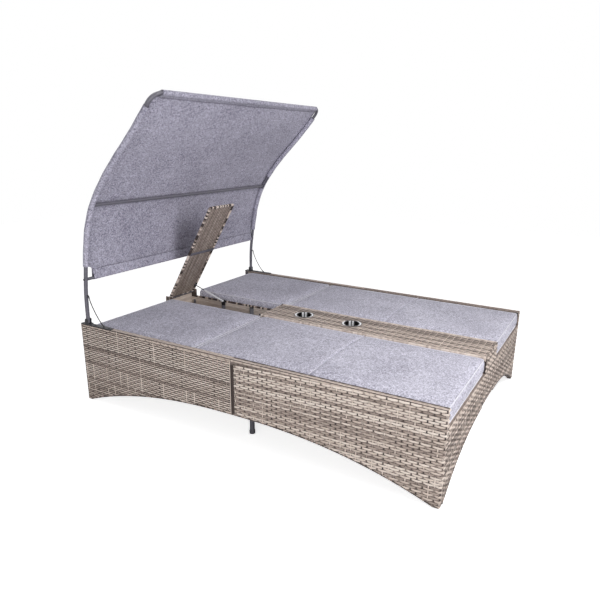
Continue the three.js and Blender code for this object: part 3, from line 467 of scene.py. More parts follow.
def clothMaterial(name, dark, light, thread=0.12):
    material, tree, shader = newMaterial(name, Specular_IOR_Level=0.2, Sheen_Weight=0.15, Sheen_Roughness=0.5)
    out = useGroup(tree, "cloth", {"Surface": objectPoint(tree), "Dark": srgb(*dark), "Light": srgb(*light),
                                   "Thread": thread})
    shade(tree, shader, out["Color"], 0.92, out["Height"], 0.0006, 0.8)
    return material


def coatMaterial(name, colour, worn, wear=0.25, gloss=0.4, metallic=0.0, bump=0.00015, **shaderValues):
    material, tree, shader = newMaterial(name, Metallic=metallic, **shaderValues)
    out = useGroup(tree, "coat", {"Surface": objectPoint(tree), "Colour": srgb(*colour), "Worn": srgb(*worn),
                                  "Wear": wear, "Gloss": gloss})
    shade(tree, shader, out["Color"], out["Roughness"], out["Height"], bump, 0.5)
    return material


def reflectionFanMaterial(name, dark, bright):
    # brushed steel: a painted-reflection attribute of the piece picks dark metal or a near-white painted
    # reflection, with fine turning marks
    material, tree, shader = newMaterial(name)
    paintedReflection = addNode(tree, "Attribute", attribute_name="paintedReflection")["Fac"]
    marks = noise(tree, objectPoint(tree), 1.0, 2.0, 0.6, stretch=(260, 260, 2600))
    colour = blendColour(tree, vary(tree, marks, 0.35, paintedReflection), srgb(*dark), srgb(*bright))
    shade(tree, shader, colour, scaleAdd(tree, marks, 0.18, 0.10), marks, 0.00004, 0.5)
    setInputs(tree, shader, {"Metallic": scaleAdd(tree, paintedReflection, -0.95, 1.0)})
    return material


def boardMaterial(name):
    # slatted board: grain drawn out along the bed with soft growth bands
    material, tree, shader = newMaterial(name, Specular_IOR_Level=0.3)
    surface = objectPoint(tree)
    grain = noise(tree, surface, 1.0, 5.0, 0.65, stretch=(90, 5, 90), distortion=0.6)
    bands = noise(tree, surface, 1.0, 2.0, 0.5, stretch=(14, 1.2, 14))
    colour = rampOf(tree, scaleAdd(tree, bands, 0.5, math(tree, "MULTIPLY", grain, 0.5)), boardColours)
    shade(tree, shader, colour, scaleAdd(tree, grain, 0.2, 0.6), grain, 0.0005, 0.6)
    return material


materials = {
    "strand": strandMaterial("paintedStrand"),
    # backing and panel are near-black, tone 0.06: painted shade seen through the weave's gaps; a panel's
    # faces turned to the bed's inside show strands
    "gapShadeBacking": strandMaterial("wickerGapShadeBacking", tone=0.06, streaks=0.25),
    "panel": strandMaterial("wickerPanelGapShade", tone=0.06, streaks=0.25, inner=0.42),
    "cushion": clothMaterial("cushionMelange", (140, 137, 154), (233, 231, 245)),
    # the piping's cloth is lighter than the cushion's: a painted highlight along the cushions' edges
    "pipingHighlight": clothMaterial("cushionPiping", (214, 212, 224), (248, 247, 253), 0.2),
    # the crease cord's cloth is lighter too: a painted highlight on the crease
    "crease": clothMaterial("cushionCreaseHighlight", (200, 197, 210), (246, 245, 251), 0.2),
    "canopy": clothMaterial("canopyMelange", (108, 105, 122), (204, 201, 218), 0.16),
    # the seam thread is darker than the canopy: painted shade of the sewn seams' grooves
    "seamShadeThread": clothMaterial("canopySeamShadeThread", (96, 93, 108), (150, 147, 162), 0.2),
    "tube": coatMaterial("greyTubeCoat", (97, 95, 105), (130, 128, 137), gloss=0.38, Coat_Weight=0.12,
                         Coat_Roughness=0.3),
    "frame": coatMaterial("greyFrameCoat", (84, 83, 90), (124, 122, 128), gloss=0.45),
    "zinc": coatMaterial("zincPlate", (112, 112, 118), (142, 142, 147), gloss=0.4, metallic=0.1),
    "plate": coatMaterial("darkPlateCoat", (46, 46, 50), (84, 84, 88), gloss=0.42),
    "black": coatMaterial("blackPlastic", (26, 26, 29), (58, 57, 60), wear=0.35, gloss=0.42),
    "steelReflection": reflectionFanMaterial("brushedSteelReflection", (64, 61, 62), (250, 250, 252)),
    # the strut's cylinder is near-white and not metallic: a painted reflection standing for bright chrome
    "strutTube": coatMaterial("strutChromePaintedReflection", (228, 228, 233), (196, 196, 202), wear=0.3, gloss=0.28,
                              bump=0.00006),
    "strut": coatMaterial("strutSteel", (74, 74, 80), (120, 120, 126), wear=0.4, gloss=0.3, metallic=0.6),
    "cable": coatMaterial("cableSheath", (22, 22, 25), (40, 40, 43), wear=0.3, gloss=0.7),
    "board": boardMaterial("deckBoard")}
print("stage: materials")


# curve of the canopy's side tubes, as the CAD draws it

canopyShape = {
    "postX": 0.745, "foot": (0.960, 0.4475), "reach": 0.565, "rise": 1.1405,
    "shares": [(0, 0), (0.009, 0.134), (0.035, 0.239), (0.073, 0.353), (0.119, 0.449), (0.209, 0.55),
               (0.368, 0.66), (0.529, 0.748), (0.704, 0.835), (0.867, 0.923), (1, 1)],
    "postRadius": 0.0100, "armRadius": 0.0090, "jointZ": 1.106, "bendRadius": 0.058,
    "lowBarZ": 0.684, "midBarZ": 1.072, "lugZ": 0.597, "lowBarRadius": 0.008, "midBarRadius": 0.009,
    "gap": 0.0003, "boltIn": 0.040, "boltOut": 0.0085}


def smoothCurve(points, perSpan=160):
    # centripetal Catmull-Rom: each span is a cubic whose end slopes weigh the neighbours' root distances
    points = np.concatenate([[2 * points[0] - points[1]], points, [2 * points[-1] - points[-2]]])
    step = np.sqrt(np.linalg.norm(np.diff(points, axis=0), axis=1))[:, None]
    p0, p1, p2, p3 = points[:-3], points[1:-2], points[2:-1], points[3:]
    d0, d1, d2 = step[:-2], step[1:-1], step[2:]
    slope1 = ((p1 - p0) / d0 - (p2 - p0) / (d0 + d1) + (p2 - p1) / d1) * d1
    slope2 = ((p2 - p1) / d1 - (p3 - p1) / (d1 + d2) + (p3 - p2) / d2) * d1
    t = np.linspace(0, 1, perSpan, endpoint=False)[:, None]
    spans = [a + s * t + (3 * (b - a) - 2 * s - e) * t ** 2 + (2 * (a - b) + s + e) * t ** 3
             for a, b, s, e in zip(p1, p2, slope1, slope2)]
    return np.concatenate(spans + [points[-2][None]])


sideRun = smoothCurve(np.array([(canopyShape["foot"][0] - back * canopyShape["reach"],
                                 canopyShape["foot"][1] + up * canopyShape["rise"])
                                for back, up in canopyShape["shares"]]))
sideLengths = measured(sideRun)
sideLength = sideLengths[-1]


def sideAt(distance):
    # points, outward directions and tangents in the side plane, at distances from the post's foot
    distance = np.asarray(distance, float)
    ahead = resample(sideRun, np.minimum(distance + 0.002, sideLength))
    tangent = unit(ahead - resample(sideRun, np.maximum(distance - 0.002, 0)))
    return resample(sideRun, distance), stacked(tangent[..., 1], -tangent[..., 0]), tangent


def distanceAtHeight(z):
    return float(np.interp(z, sideRun[:, 1], sideLengths))


def pointAtHeight(key):
    return sideAt(distanceAtHeight(canopyShape[key]))[0]


# stay cables, first so that their lengths are known

cableSetup = {
    "diameter": 0.0048, "runs": [(0, 0), (0.045, 0.1), (0.115, 0.22), (0.215, 0.35), (0.345, 0.49),
                                 (0.525, 0.66), (0.745, 0.835), (1, 1)],
    "plateY": 0.846, "lugRadius": 0.004, "endGap": 0.0028, "plateEndZ": 0.4497, "lugReach": 0.005,
    "layLength": 0.060, "strands": 6, "ridge": 0.02,
    "ferrule": [(0, -0.0012), (0.0022, -0.0012), (0.0031, -0.0004), (0.0032, 0.011), (0.0029, 0.0122),
                (0.0024, 0.0132), (0, 0.0132)]}


def stayCable(label, side, sign):
    size = cableSetup
    lugY, lugZ = pointAtHeight("lugZ")
    startY = lugY - canopyShape["postRadius"] - size["lugReach"] - size["endGap"]
    endY = size["plateY"] + size["lugRadius"] + size["endGap"]
    along, down = np.array(size["runs"]).T
    route = smoothCurve(stacked(sign * canopyShape["postX"], startY + (endY - startY) * along,
                                lugZ + (size["plateEndZ"] - lugZ) * down), 8)
    angle = np.linspace(0, 2 * pi, 12, endpoint=False)
    # the laid strands show under the sheath: radius * (1 - ridge + ridge * cos(strands * angle + lay))
    lay = measured(route)[:, None] * 2 * pi / size["layLength"]
    relief = 1 - size["ridge"] + size["ridge"] * np.cos(size["strands"] * angle + lay)
    radius = size["diameter"] / 2 * relief
    cable = sweep("stayCable" + label, route, (0, -0.7, 0.7),
                  stacked(radius * np.cos(angle), radius * np.sin(angle)))
    dress(cable, "cable", "cable_steel", None, ["stay_cable_" + side])
    length = float(measured(route)[-1])
    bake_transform(cable)
    for end, body, point, toward in (("Top", "canopy", route[0], route[4]),
                                     ("Foot", "base", route[-1], route[-5])):
        ferrule = revolve("cableFerrule" + end + label, size["ferrule"], point, unit(toward - point), 16)
        dress(ferrule, "black", "black_trim", body)
    return length


cableLengths = [stayCable(*row) for row in sides]
print("stage: stay cables", [round(length, 4) for length in cableLengths])


# woven faces: values of the strands, then the tones of the rows from the top border down

# recess: how much each strand darkens where it dips under a stake, a painted shade
weaveSetup = {
    "pitch": 0.0114, "strandWidth": {"foot": 0.0100, "head": 0.0065}, "wave": (0.0010, 0.0015, 0.0014),
    "stakePitch": 0.0248, "stake": (0.0058, 0.0006, 0.0015), "recessShade": {"foot": 0.28, "head": 0.20},
    "topZ": 0.438, "lowZ": 0.010, "seamY": 0.018, "halfWidth": 0.760, "halfLength": 1.000,
    "cornerRadius": 0.007, "wrapX": 0.7325, "sideArch": (0.157, 0.985, 2.4), "endArch": (0.172, 0.735, 2.9),
    "archLift": 0.0035, "archMin": 0.001, "trim": 0.02, "cornerFloor": 0.0055,
    "sag": {"foot": 0.026, "head": 0.009}, "seam": {"foot": (0.0042, 0.06), "head": (0.0050, 0.86)},
    "archBar": (0.0074, 0.0080, 0.0105, 0.12, 0.50), "archBarRise": 0.0036, "archBarMin": 0.0045,
    "archBarOut": 0.0002, "archBarStop": 0.9965, "firstRow": 0.008, "seamStrand": (0.0012, 0.0022),
    "seamIn": 0.0012, "toneSpread": {"side": 0.03, "end": 0.04}}
rimSetup = {
    "lanes": (0.7352, 0.7440, 0.7528, 0.7662, 0.7752, 0.7842), "wave": (0.0086, 0.0009, 0.0011, 0.0010),
    "stops": {"foot": (0.9985, 0.9985, 0.9985, 0.985, 0.55, 0.35),
              "head": (0.7825, 0.7825, 0.7825, 0.60, 0.049, 0.049)},
    "tones": {"foot": (0.08, 0.70, 0.84, 0.80, 0.40, 0.36), "head": (0.80, 0.86, 0.86, 0.78, 0.66, 0.62)}}
# recess scales the painted shade in the strands' dips on the end faces
endSetup = {
    "startX": 0.1225, "stopX": 0.7275, "topZ": 0.3527, "shortest": 0.02, "toneShift": -0.14, "recessShade": 0.5,
    "firstStake": 0.1488, "border": (0.3492, 0.62, 0.0064, 0.0012, 0.0016, 0.0008), "bar": (0.1212, 0.7290)}
rowTones = {
    "foot": np.array([.76, .74, .36, .74, .78, .76, .72, .34, .74, .78, .70, .44, .64,
                      .40, .76, .44, .46, .42, .60, .72, .42, .42, .74, .66, .58, .34,
                      .72, .76, .74, .70, .38, .60, .42, .64, .42, .58, .40, .54]),
    "head": np.array([.56, .54, .64, .60, .66, .52, .62, .68, .64, .60, .20, .44, .62,
                      .64, .60, .62, .58, .52, .32, .60, .60, .58, .60, .56, .58, .54,
                      .32, .54, .56, .52, .30, .38, .56, .30, .50, .50, .34, .48])}
toneShift = {"foot": 0.17, "head": 0.30}
# shares of the stakes that show light between dark rows, light between light rows, dark between light rows
stakeShares = {"foot": (0.62, 0.20, 0.48), "head": (0.42, 0.11, 0.10)}
# a stake's tones between dark rows (light, dark) and between light ones (light, dark, middle)
stakeTones = {"dark": (0.86, 0.42), "light": (0.90, 0.14, 0.46)}
# across a ribbon: places as shares of its width, and how high they stand as shares of its crown
ribbonAcross = np.array([-0.5, -0.3, 0.0, 0.3, 0.5])
ribbonRise = np.array([0.0, 0.82, 1.0, 0.82, 0.0])


def archHeight(along, arch):
    # height * (1 - (distance / reach) ^ power)
    height, reach, power = arch
    return height * (1 - np.minimum(1, np.abs(along) / reach) ** power)


def archEdge(rows, arch):
    # how far along the arch its edge reaches the top of each row; zero above the crown
    height, reach, power = arch
    z = rows + weaveSetup["pitch"] / 2 - weaveSetup["archLift"]
    return reach * np.clip(1 - z / height, 0, 1) ** (1 / power)


def flatStrands(name, place, centres, starts, stops, tones, width, crown, lift, swing=0.0, phase=None,
                stakePitch=weaveSetup["stakePitch"], samples=5, recessShade=0.0, seed=0):
    # each strand is a flat ribbon, crowned across; out = lift + swing * cos(pi * along / pitch + pi * row),
    # and it darkens by recess * under ^ 8 where it passes under a stake, a painted shade in the dip
    centres = np.asarray(centres, float)
    starts, stops, tones = (np.broadcast_to(np.asarray(part, float), centres.shape)
                            for part in (starts, stops, tones))
    rows, points = len(centres), len(ribbonRise)
    phase = np.arange(rows) if phase is None else phase
    count = max(3, int(np.ceil(np.max(stops - starts) / stakePitch * samples)) + 1)
    along = starts[:, None] + (stops - starts)[:, None] * np.linspace(0, 1, count)
    wave = np.cos(pi * along / stakePitch + pi * phase[:, None])
    lane = np.broadcast_to(centres[:, None, None] + ribbonAcross * width, (rows, count, points))
    run = np.broadcast_to(along[..., None], lane.shape)
    verts = place(run, lane, (lift + swing * wave)[..., None] + ribbonRise * crown)
    first = np.arange(rows) * count * points
    quads = gridQuads(count, points, ringColumns=True) + first[:, None, None, None]
    tris = np.concatenate([stacked(cap, cap + k, cap + k + 1)
                           for cap in (first, first + (count - 1) * points) for k in (1, 2, 3)])
    wander = np.random.default_rng(seed).normal(0, 1, (rows, 8))
    drift = sum(wander[:, k:k + 1] * np.sin((k + 2) * 5.3 * along + wander[:, k + 4:k + 5] * 3)
                for k in range(4))
    tone = tones[:, None] - recessShade * (0.5 - 0.5 * wave) ** 8 + 0.022 * drift
    tone = np.broadcast_to(tone[..., None], lane.shape)
    uv = stacked(run, lane + phase[:, None, None] * 0.37)
    return editMesh(addMesh(name, verts, quads, tris, uv, {"strandTone": tone}))


def boundBar(name, path, outs, width, height, wrapPitch, darkTone, lightTone, darkShare, bulge=0.0007,
             ring=False, seed=1, corner=0.35, midShare=0.12, dressing=()):
    # a bar wrapped in strands: every wrap bulges by 1 - (2f - 1)^4 of its place f, and changes tone
    random = np.random.default_rng(seed)
    closed = np.concatenate([path, path[:1]]) if ring else path
    total = measured(closed)[-1]
    wraps = max(2, int(round(total / wrapPitch)))
    places = (np.arange(wraps)[:, None] + np.array([0.0, 0.06, 0.3, 0.7, 0.94])).ravel()
    places = places if ring else np.append(places, wraps)
    swell = bulge * (1 - np.abs(2 * (places % 1) - 1) ** 4) - bulge * 0.5
    outline = roundedBox(width, height, min(width, height) * corner)
    profile = outline * (1 + swell[:, None, None] / np.linalg.norm(outline, axis=1, keepdims=True))
    draw = random.random(wraps)
    middle = (darkTone + lightTone) / 2
    tone = np.where(draw < darkShare, darkTone, np.where(draw < darkShare + midShare, middle, lightTone))
    tone = tone + random.normal(0, 0.05, wraps)
    tone = tone[np.minimum(places.astype(int), wraps - 1)]
    bar = sweep(name, resample(closed, places / wraps * total), outs, profile, ring, {"strandTone": tone})
    return wovenPiece(name, [bar], *dressing)


def wovenPiece(name, parts, slot="wicker", body="base", replaced=()):
    obj = joinMeshes(name, parts) if len(parts) > 1 else parts[0]
    return dress(obj, "strand", slot, body, replaced)


def crossed(place):
    # the same face for strands that cross its rows
    return lambda along, lane, out: place(lane, along, out)


def rowsDown(top, bottom):
    return np.arange(top - weaveSetup["pitch"] / 2, bottom, -weaveSetup["pitch"])


def stakeRuns(name, place, rows, tones, stakes, lows, seed, end="foot"):
    # a stake shows light between dark rows and mostly dark between light ones: one ribbon per group of rows
    random = np.random.default_rng(seed)
    half = weaveSetup["pitch"] / 2
    lightInDark, lightInLight, darkInLight = stakeShares[end]
    breaks = np.concatenate([[0], np.nonzero(np.abs(np.diff(tones)) > 0.2)[0] + 1, [len(rows)]])
    runs = []
    for first, last in zip(breaks[:-1], breaks[1:]):
        dark = tones[first:last].mean() < 0.45
        top, bottom = rows[first] + half, rows[last - 1] - half
        for index, (stake, low) in enumerate(zip(stakes, np.broadcast_to(lows, stakes.shape))):
            if top - 0.004 > low:
                pick = random.random() + (0.12 if index % 2 else -0.12)
                if dark:
                    tone = stakeTones["dark"][0 if pick < lightInDark else 1]
                else:
                    choice = 0 if pick < lightInLight else 1 if pick > 1 - darkInLight else 2
                    tone = stakeTones["light"][choice]
                runs.append((stake, max(bottom, low), top, tone + random.normal(0, 0.04)))
    return flatStrands(name, crossed(place), *np.array(runs).T, *weaveSetup["stake"], samples=0.4)


def archFloor(along, arch, least=0.0):
    # the lowest place of a strand above the arch's edge
    return np.maximum(archHeight(along, arch), least) + weaveSetup["archLift"]


def trimmed(z, floor):
    # strands below the arch's edge are pressed up to it
    return np.where(z > floor, z, floor + (z - floor) * weaveSetup["trim"])


def archBand(name, along, arch, path, out, darkShare, seed):
    # a dark bound cord closes the arched edge; path turns places along it and heights into points
    size = weaveSetup
    z = np.maximum(size["archBarMin"], archHeight(along, arch)) + size["archBarRise"]
    boundBar(name, path(along, z), out, *size["archBar"], darkShare, bulge=0.0004, seed=seed)


def sidePlace(sx, sy, end):
    # along runs from the seam to the corner, round it and on over the end face; lane is the height.
    # rows hang lower towards the seam: drop = sag * (1 - share) ^ 1.6, less further down; the arch trims them
    size = weaveSetup
    radius, wide = size["cornerRadius"], size["halfWidth"]
    start = sy * size["seamY"]
    flat = size["halfLength"] - start - radius
    bend = radius * pi / 2

    def place(along, lane, out):
        angle = np.clip((along - flat) / radius, 0, pi / 2)
        x = wide - radius + radius * np.cos(angle) - np.maximum(along - flat - bend, 0)
        y = start + np.minimum(along, flat) + radius * np.sin(angle)
        depth = 0.35 + 0.65 * np.clip((lane - 0.17) / 0.268, 0, 1)
        z = lane - size["sag"][end] * np.clip(1 - along / flat, 0, 1) ** 1.6 * depth
        floor = archFloor(start + along, size["sideArch"], size["archMin"])
        z = trimmed(z, np.where(along > flat, size["cornerFloor"], floor))
        return stacked(sx * (x + out * np.cos(angle)), sy * (y + out * np.sin(angle)), z)
    return place, start, flat + bend + wide - radius - size["wrapX"]


def sideWeave(label, sx, endLabel, end, sy):
    size, rim = weaveSetup, rimSetup
    place, start, stop = sidePlace(sx, sy, end)
    random = np.random.default_rng(3 + (sx > 0) + 2 * (sy > 0))
    name, arch, mark = label + endLabel, size["sideArch"], sx + 2 * sy
    rows = rowsDown(size["topZ"], size["lowZ"])
    tones = rowTones[end] + toneShift[end] + random.normal(0, size["toneSpread"]["side"], len(rows))
    starts = np.maximum(archEdge(rows, arch) - start, size["firstRow"])
    piece = flatStrands("sideRows" + name, place, rows, starts, stop, tones, size["strandWidth"][end],
                        *size["wave"], recessShade=size["recessShade"][end], seed=17 + mark)
    stakes = np.arange(size["stakePitch"], stop - 0.004, size["stakePitch"])
    low = archFloor(start + stakes, arch, size["archMin"])
    posts = stakeRuns("sideStakes" + name, place, rows, tones, stakes, low, 29 + mark, end)
    seamWidth, seamTone = size["seam"][end]
    seam = flatStrands("sideSeam" + name, crossed(place), [size["seamIn"] + seamWidth / 2],
                       archFloor(start, arch), size["topZ"] - 0.001, seamTone, seamWidth,
                       *size["seamStrand"], samples=1)
    wovenPiece("sideWeave" + name, [piece, posts, seam])
    archBand("archBand" + name, np.linspace(start, size["archBarStop"], 170), arch,
             lambda y, z: stacked(sx * (size["halfWidth"] + size["archBarOut"]), sy * y, z), (sx, 0, 0), 0.68,
             11 + sx + 3 * sy)

    def rimPlace(along, lane, out):
        # lane runs outwards over the top and then down the face behind the rows
        over = np.maximum(lane - size["halfWidth"], 0)
        x = np.minimum(lane, size["halfWidth"]) + np.where(over > 0, out * 0.35, 0)
        return stacked(sx * x, sy * along, size["topZ"] - over + np.where(over > 0, 0, out * 0.5))
    # the rim: strands along the bed on its top and over its shoulder, stopped before the canopy's plate
    wovenPiece("rimTop" + name, [flatStrands(
        "rimTop" + name, rimPlace, rim["lanes"], start + 0.001, rim["stops"][end], rim["tones"][end],
        *rim["wave"], recessShade=0.2, seed=23 + sx + sy)])


def endWeave(label, sx, endLabel, end, sy):
    size, own = weaveSetup, endSetup
    random = np.random.default_rng(31 + (sx > 0) + 2 * (sy > 0))
    name, arch, mark = label + endLabel, size["endArch"], sx + 2 * sy

    def place(along, lane, out):
        return stacked(sx * along, sy * (size["halfLength"] + out), trimmed(lane, archFloor(along, arch)))
    rows = rowsDown(size["topZ"], size["lowZ"])
    keep = rows + size["pitch"] / 2 < own["topZ"]
    tones = rowTones[end] + toneShift[end] + own["toneShift"]
    tones = (tones + random.normal(0, size["toneSpread"]["end"], len(rows)))[keep]
    phase, rows = np.arange(len(rows))[keep], rows[keep]
    starts = np.maximum(archEdge(rows, arch), own["startX"])
    room = own["stopX"] - starts > own["shortest"]
    piece = flatStrands("endRows" + name, place, rows[room], starts[room], own["stopX"], tones[room],
                        size["strandWidth"]["foot"], *size["wave"], phase=phase[room],
                        recessShade=size["recessShade"]["foot"] * own["recessShade"], seed=37 + mark)
    stakes = np.arange(own["firstStake"], own["stopX"] - 0.01, size["stakePitch"])
    posts = stakeRuns("endStakes" + name, place, rows, tones, stakes, archFloor(stakes, arch), 43 + mark)
    borderZ, *border = own["border"]
    border = flatStrands("endBorder" + name, place, [borderZ], own["startX"], own["stopX"], *border)
    wovenPiece("endWeave" + name, [piece, posts, border])
    archBand("endArchBand" + name, np.linspace(*own["bar"], 110), arch,
             lambda x, z: stacked(sx * x, sy * (size["halfLength"] + size["archBarOut"]), z), (0, sy, 0),
             0.66, 41 + sx + 3 * sy)


for label, _, sx in sides:
    for endLabel, end, sy in ends:
        sideWeave(label, sx, endLabel, end, sy)
        endWeave(label, sx, endLabel, end, sy)
print("stage: woven sides and ends")


# console, storage box and lid

consoleSetup = {
    "half": 0.120, "footY": -1.0, "headY": 0.283, "topZ": 0.438, "cups": (0.067, -0.235), "cupCut": 0.0505,
    "cupClear": 0.060, "cupSink": 0.0012, "laneCount": 18, "margin": 0.002, "headMargin": 0.001,
    "darkLanes": (-0.074, -0.0235, 0.040, 0.062, 0.084), "lightLanes": (-0.100, -0.046, 0.010, 0.106),
    "darkWidth": 0.0065, "lightWidth": 0.012, "lane": (0.0108, 0.0008, 0.0009, 0.0009), "crossPitch": 0.032,
    "firstCross": -0.984, "cross": (0.0034, 0.0006, 0.0015)}
narrowFace = {
    "half": 0.1185, "lowZ": 0.196, "strand": (0.0101, 0.0010, 0.0016, 0.0017), "stakes": (-0.0992, 0.11),
    "stakeLow": 0.19, "boxTopZ": 0.405}
storageSetup = {
    "footY": 0.2833, "innerX": 0.112, "rimZ": 0.395, "floorZ": 0.205, "headY": 0.992,
    "uprights": (0.508, 0.728), "uprightSize": (0.0262, 0.0078), "uprightTop": 0.3840, "uprightHalf": 0.013,
    "bracket": (0.966, 0.352, 0.020, 0.034),
    "strand": (0.0123, 0.0010, 0.0010, 0.0009), "post": (0.0052, 0.0006, 0.0008), "postPitch": 0.04,
    "firstPost": 0.32, "knob": [(0, -0.004), (0.0058, -0.004), (0.0062, 0.0), (0.0050, 0.0024), (0, 0.0030)],
    "knobAt": (0.1225, 0.2885, 0.4345), "endWalls": (("boxEndWeave", 0.992, -1, 0.409),
                                                     ("boxBulkheadWeave", 0.2913, 1, 0.410))}
lidSetup = {
    "hinge": (0.972, 0.425), "open": 59.5, "length": 0.686, "overhang": 0.008, "half": 0.115, "rise": 0.012,
    "thickness": 0.014, "border": 0.014, "corner": 0.005, "sheetLow": 0.0034, "sheetHigh": 0.0104,
    "crossbar": (0.348, 0.0185, 0.0030), "strandPitch": 0.0066, "stakePitch": 0.03,
    "strand": (0.0008, 0.0006, 0.0006), "cross": (0.0036, 0.0005, 0.0004)}
# straight bound bars: start, end, points, outward, (width, height, wrap pitch, dark tone, light tone, dark
# share), bulge and seed; a name that takes a side is mirrored in x, and its seed adds the side's sign
edgeBars = {
    "consoleEdge%s": ((0.1206, -0.9985, 0.4276), (0.1206, 0.2825, 0.4276), 60, (1, 0, 0),
                      (0.0230, 0.0080, 0.013, 0.70, 0.90, 0.3), 0.0004, 61),
    "consoleFootEdge": ((-0.1155, -1.0005, 0.4345), (0.1155, -1.0005, 0.4345), 30, (0, 0, 1),
                        (0.0065, 0.0075, 0.012, 0.30, 0.78, 0.4), 0.0004, 67),
    "consoleHeadEdge": ((-0.1155, 0.2795, 0.4372), (0.1155, 0.2795, 0.4372), 30, (0, 0, 1),
                        (0.0065, 0.0075, 0.012, 0.30, 0.78, 0.4), 0.0004, 67),
    "boxRim%s": ((0.1160, 0.2843, 0.3893), (0.1160, 0.954, 0.3893), 50, (0, 0, 1),
                 (0.0105, 0.0130, 0.0125, 0.06, 0.80, 0.52), 0.0006, 71),
    "boxEar%s": ((0.1178, 0.9553, 0.4166), (0.1178, 0.9998, 0.4166), 12, (0, 0, 1),
                 (0.0062, 0.0440, 0.0112, 0.06, 0.42, 0.6), 0.0004, 79),
    "boxHeadEdge": ((-0.1145, 0.9958, 0.4142), (0.1145, 0.9958, 0.4142), 30, (0, 0, 1),
                    (0.0092, 0.0078, 0.0125, 0.10, 0.80, 0.42), 0.0005, 77),
    "boxBulkheadEdge": ((-0.1145, 0.2874, 0.4180), (0.1145, 0.2874, 0.4180), 30, (0, 0, 1),
                        (0.0092, 0.0078, 0.0125, 0.10, 0.80, 0.42), 0.0005, 77)}


def edgeBar(name, sx=0, label=""):
    start, stop, count, out, bar, bulge, seed = edgeBars[name]
    mirror = np.array([sx or 1, 1, 1])
    boundBar(name % label if label else name, between(start, stop, count) * mirror, out * mirror, *bar,
             bulge=bulge, seed=seed + sx)


def narrowWeave(name, face, heights, tones, end, seed):
    # rows and stakes on the end face of the console or of the storage box
    size = narrowFace
    rows = flatStrands(name + "Rows", face, heights, -size["half"], size["half"], tones, *size["strand"],
                       recessShade=weaveSetup["recessShade"][end])
    stakes = np.arange(*size["stakes"], weaveSetup["stakePitch"])
    wovenPiece(name, [rows, stakeRuns(name + "Posts", face, heights, tones, stakes, size["stakeLow"], seed)])


def consoleWeave():
    size = consoleSetup
    random = np.random.default_rng(5)
    half, cut, count, margin = size["half"], size["cupCut"], size["laneCount"], size["margin"]
    rows = []
    for index, lane in enumerate((np.arange(count) + 0.5) * (2 * half - 2 * margin) / count - half + margin):
        reach = np.sqrt(max(0, cut ** 2 - lane ** 2))
        cuts = [y + way * reach for y in sorted(size["cups"]) for way in (-1, 1) if reach]
        marks = [size["footY"] + margin, *cuts, size["headY"] - size["headMargin"]]
        rows += [(lane, low, high, index) for low, high in zip(marks[::2], marks[1::2])]
    rows, cups = np.array(rows), np.array(size["cups"])
    # dark and light lanes: a sum of exp(-(distance / width) ^ 2)
    darkness, lightness = (np.exp(-((rows[:, :1] - np.array(size[key + "Lanes"])) / size[key + "Width"]) ** 2)
                           .sum(axis=1) for key in ("dark", "light"))
    tone = 0.68 - 0.36 * darkness + 0.16 * lightness + random.normal(0, 0.04, len(rows))

    def place(along, lane, out):
        near = np.min(np.hypot(lane[..., None], along[..., None] - cups), axis=-1)
        sink = np.clip((size["cupClear"] - near) / 0.006, 0, 1)
        return stacked(lane, along, size["topZ"] + out * (1 - sink) - size["cupSink"] * sink)
    top = flatStrands("consoleTop", place, *rows[:, :3].T, tone, *size["lane"], phase=rows[:, 3],
                      stakePitch=size["crossPitch"], samples=6, recessShade=0.14)
    stakes = np.arange(size["firstCross"], size["headY"], size["crossPitch"])
    stakes = stakes[np.min(np.abs(stakes[:, None] - cups), axis=1) > size["cupClear"]]
    cross = flatStrands("consoleCross", crossed(place), stakes, margin - half, half - margin,
                        0.76 + random.normal(0, 0.08, len(stakes)), *size["cross"], samples=4)
    wovenPiece("consoleTopWeave", [top, cross])
    heights = rowsDown(size["topZ"], narrowFace["lowZ"])
    tones = rowTones["foot"][:len(heights)] + 0.06 + random.normal(0, 0.04, len(heights))
    narrowWeave("consoleFaceWeave", lambda along, lane, out: stacked(along, size["footY"] - out, lane),
                heights, tones, "foot", 47)
    x = np.linspace(-0.1195, 0.1195, 40)
    for name, sign in (("consoleArchBand", -1), ("storageArchBand", 1)):
        path = stacked(x, sign * 0.9925, archHeight(x, weaveSetup["endArch"]) + 0.009)
        boundBar(name, path, (0, sign, 0), 0.0175, 0.019, 0.011, 0.16, 0.6, 0.6, seed=51)
    for label, _, sx in sides:
        edgeBar("consoleEdge%s", sx, label)
    edgeBar("consoleFootEdge")
    edgeBar("consoleHeadEdge")


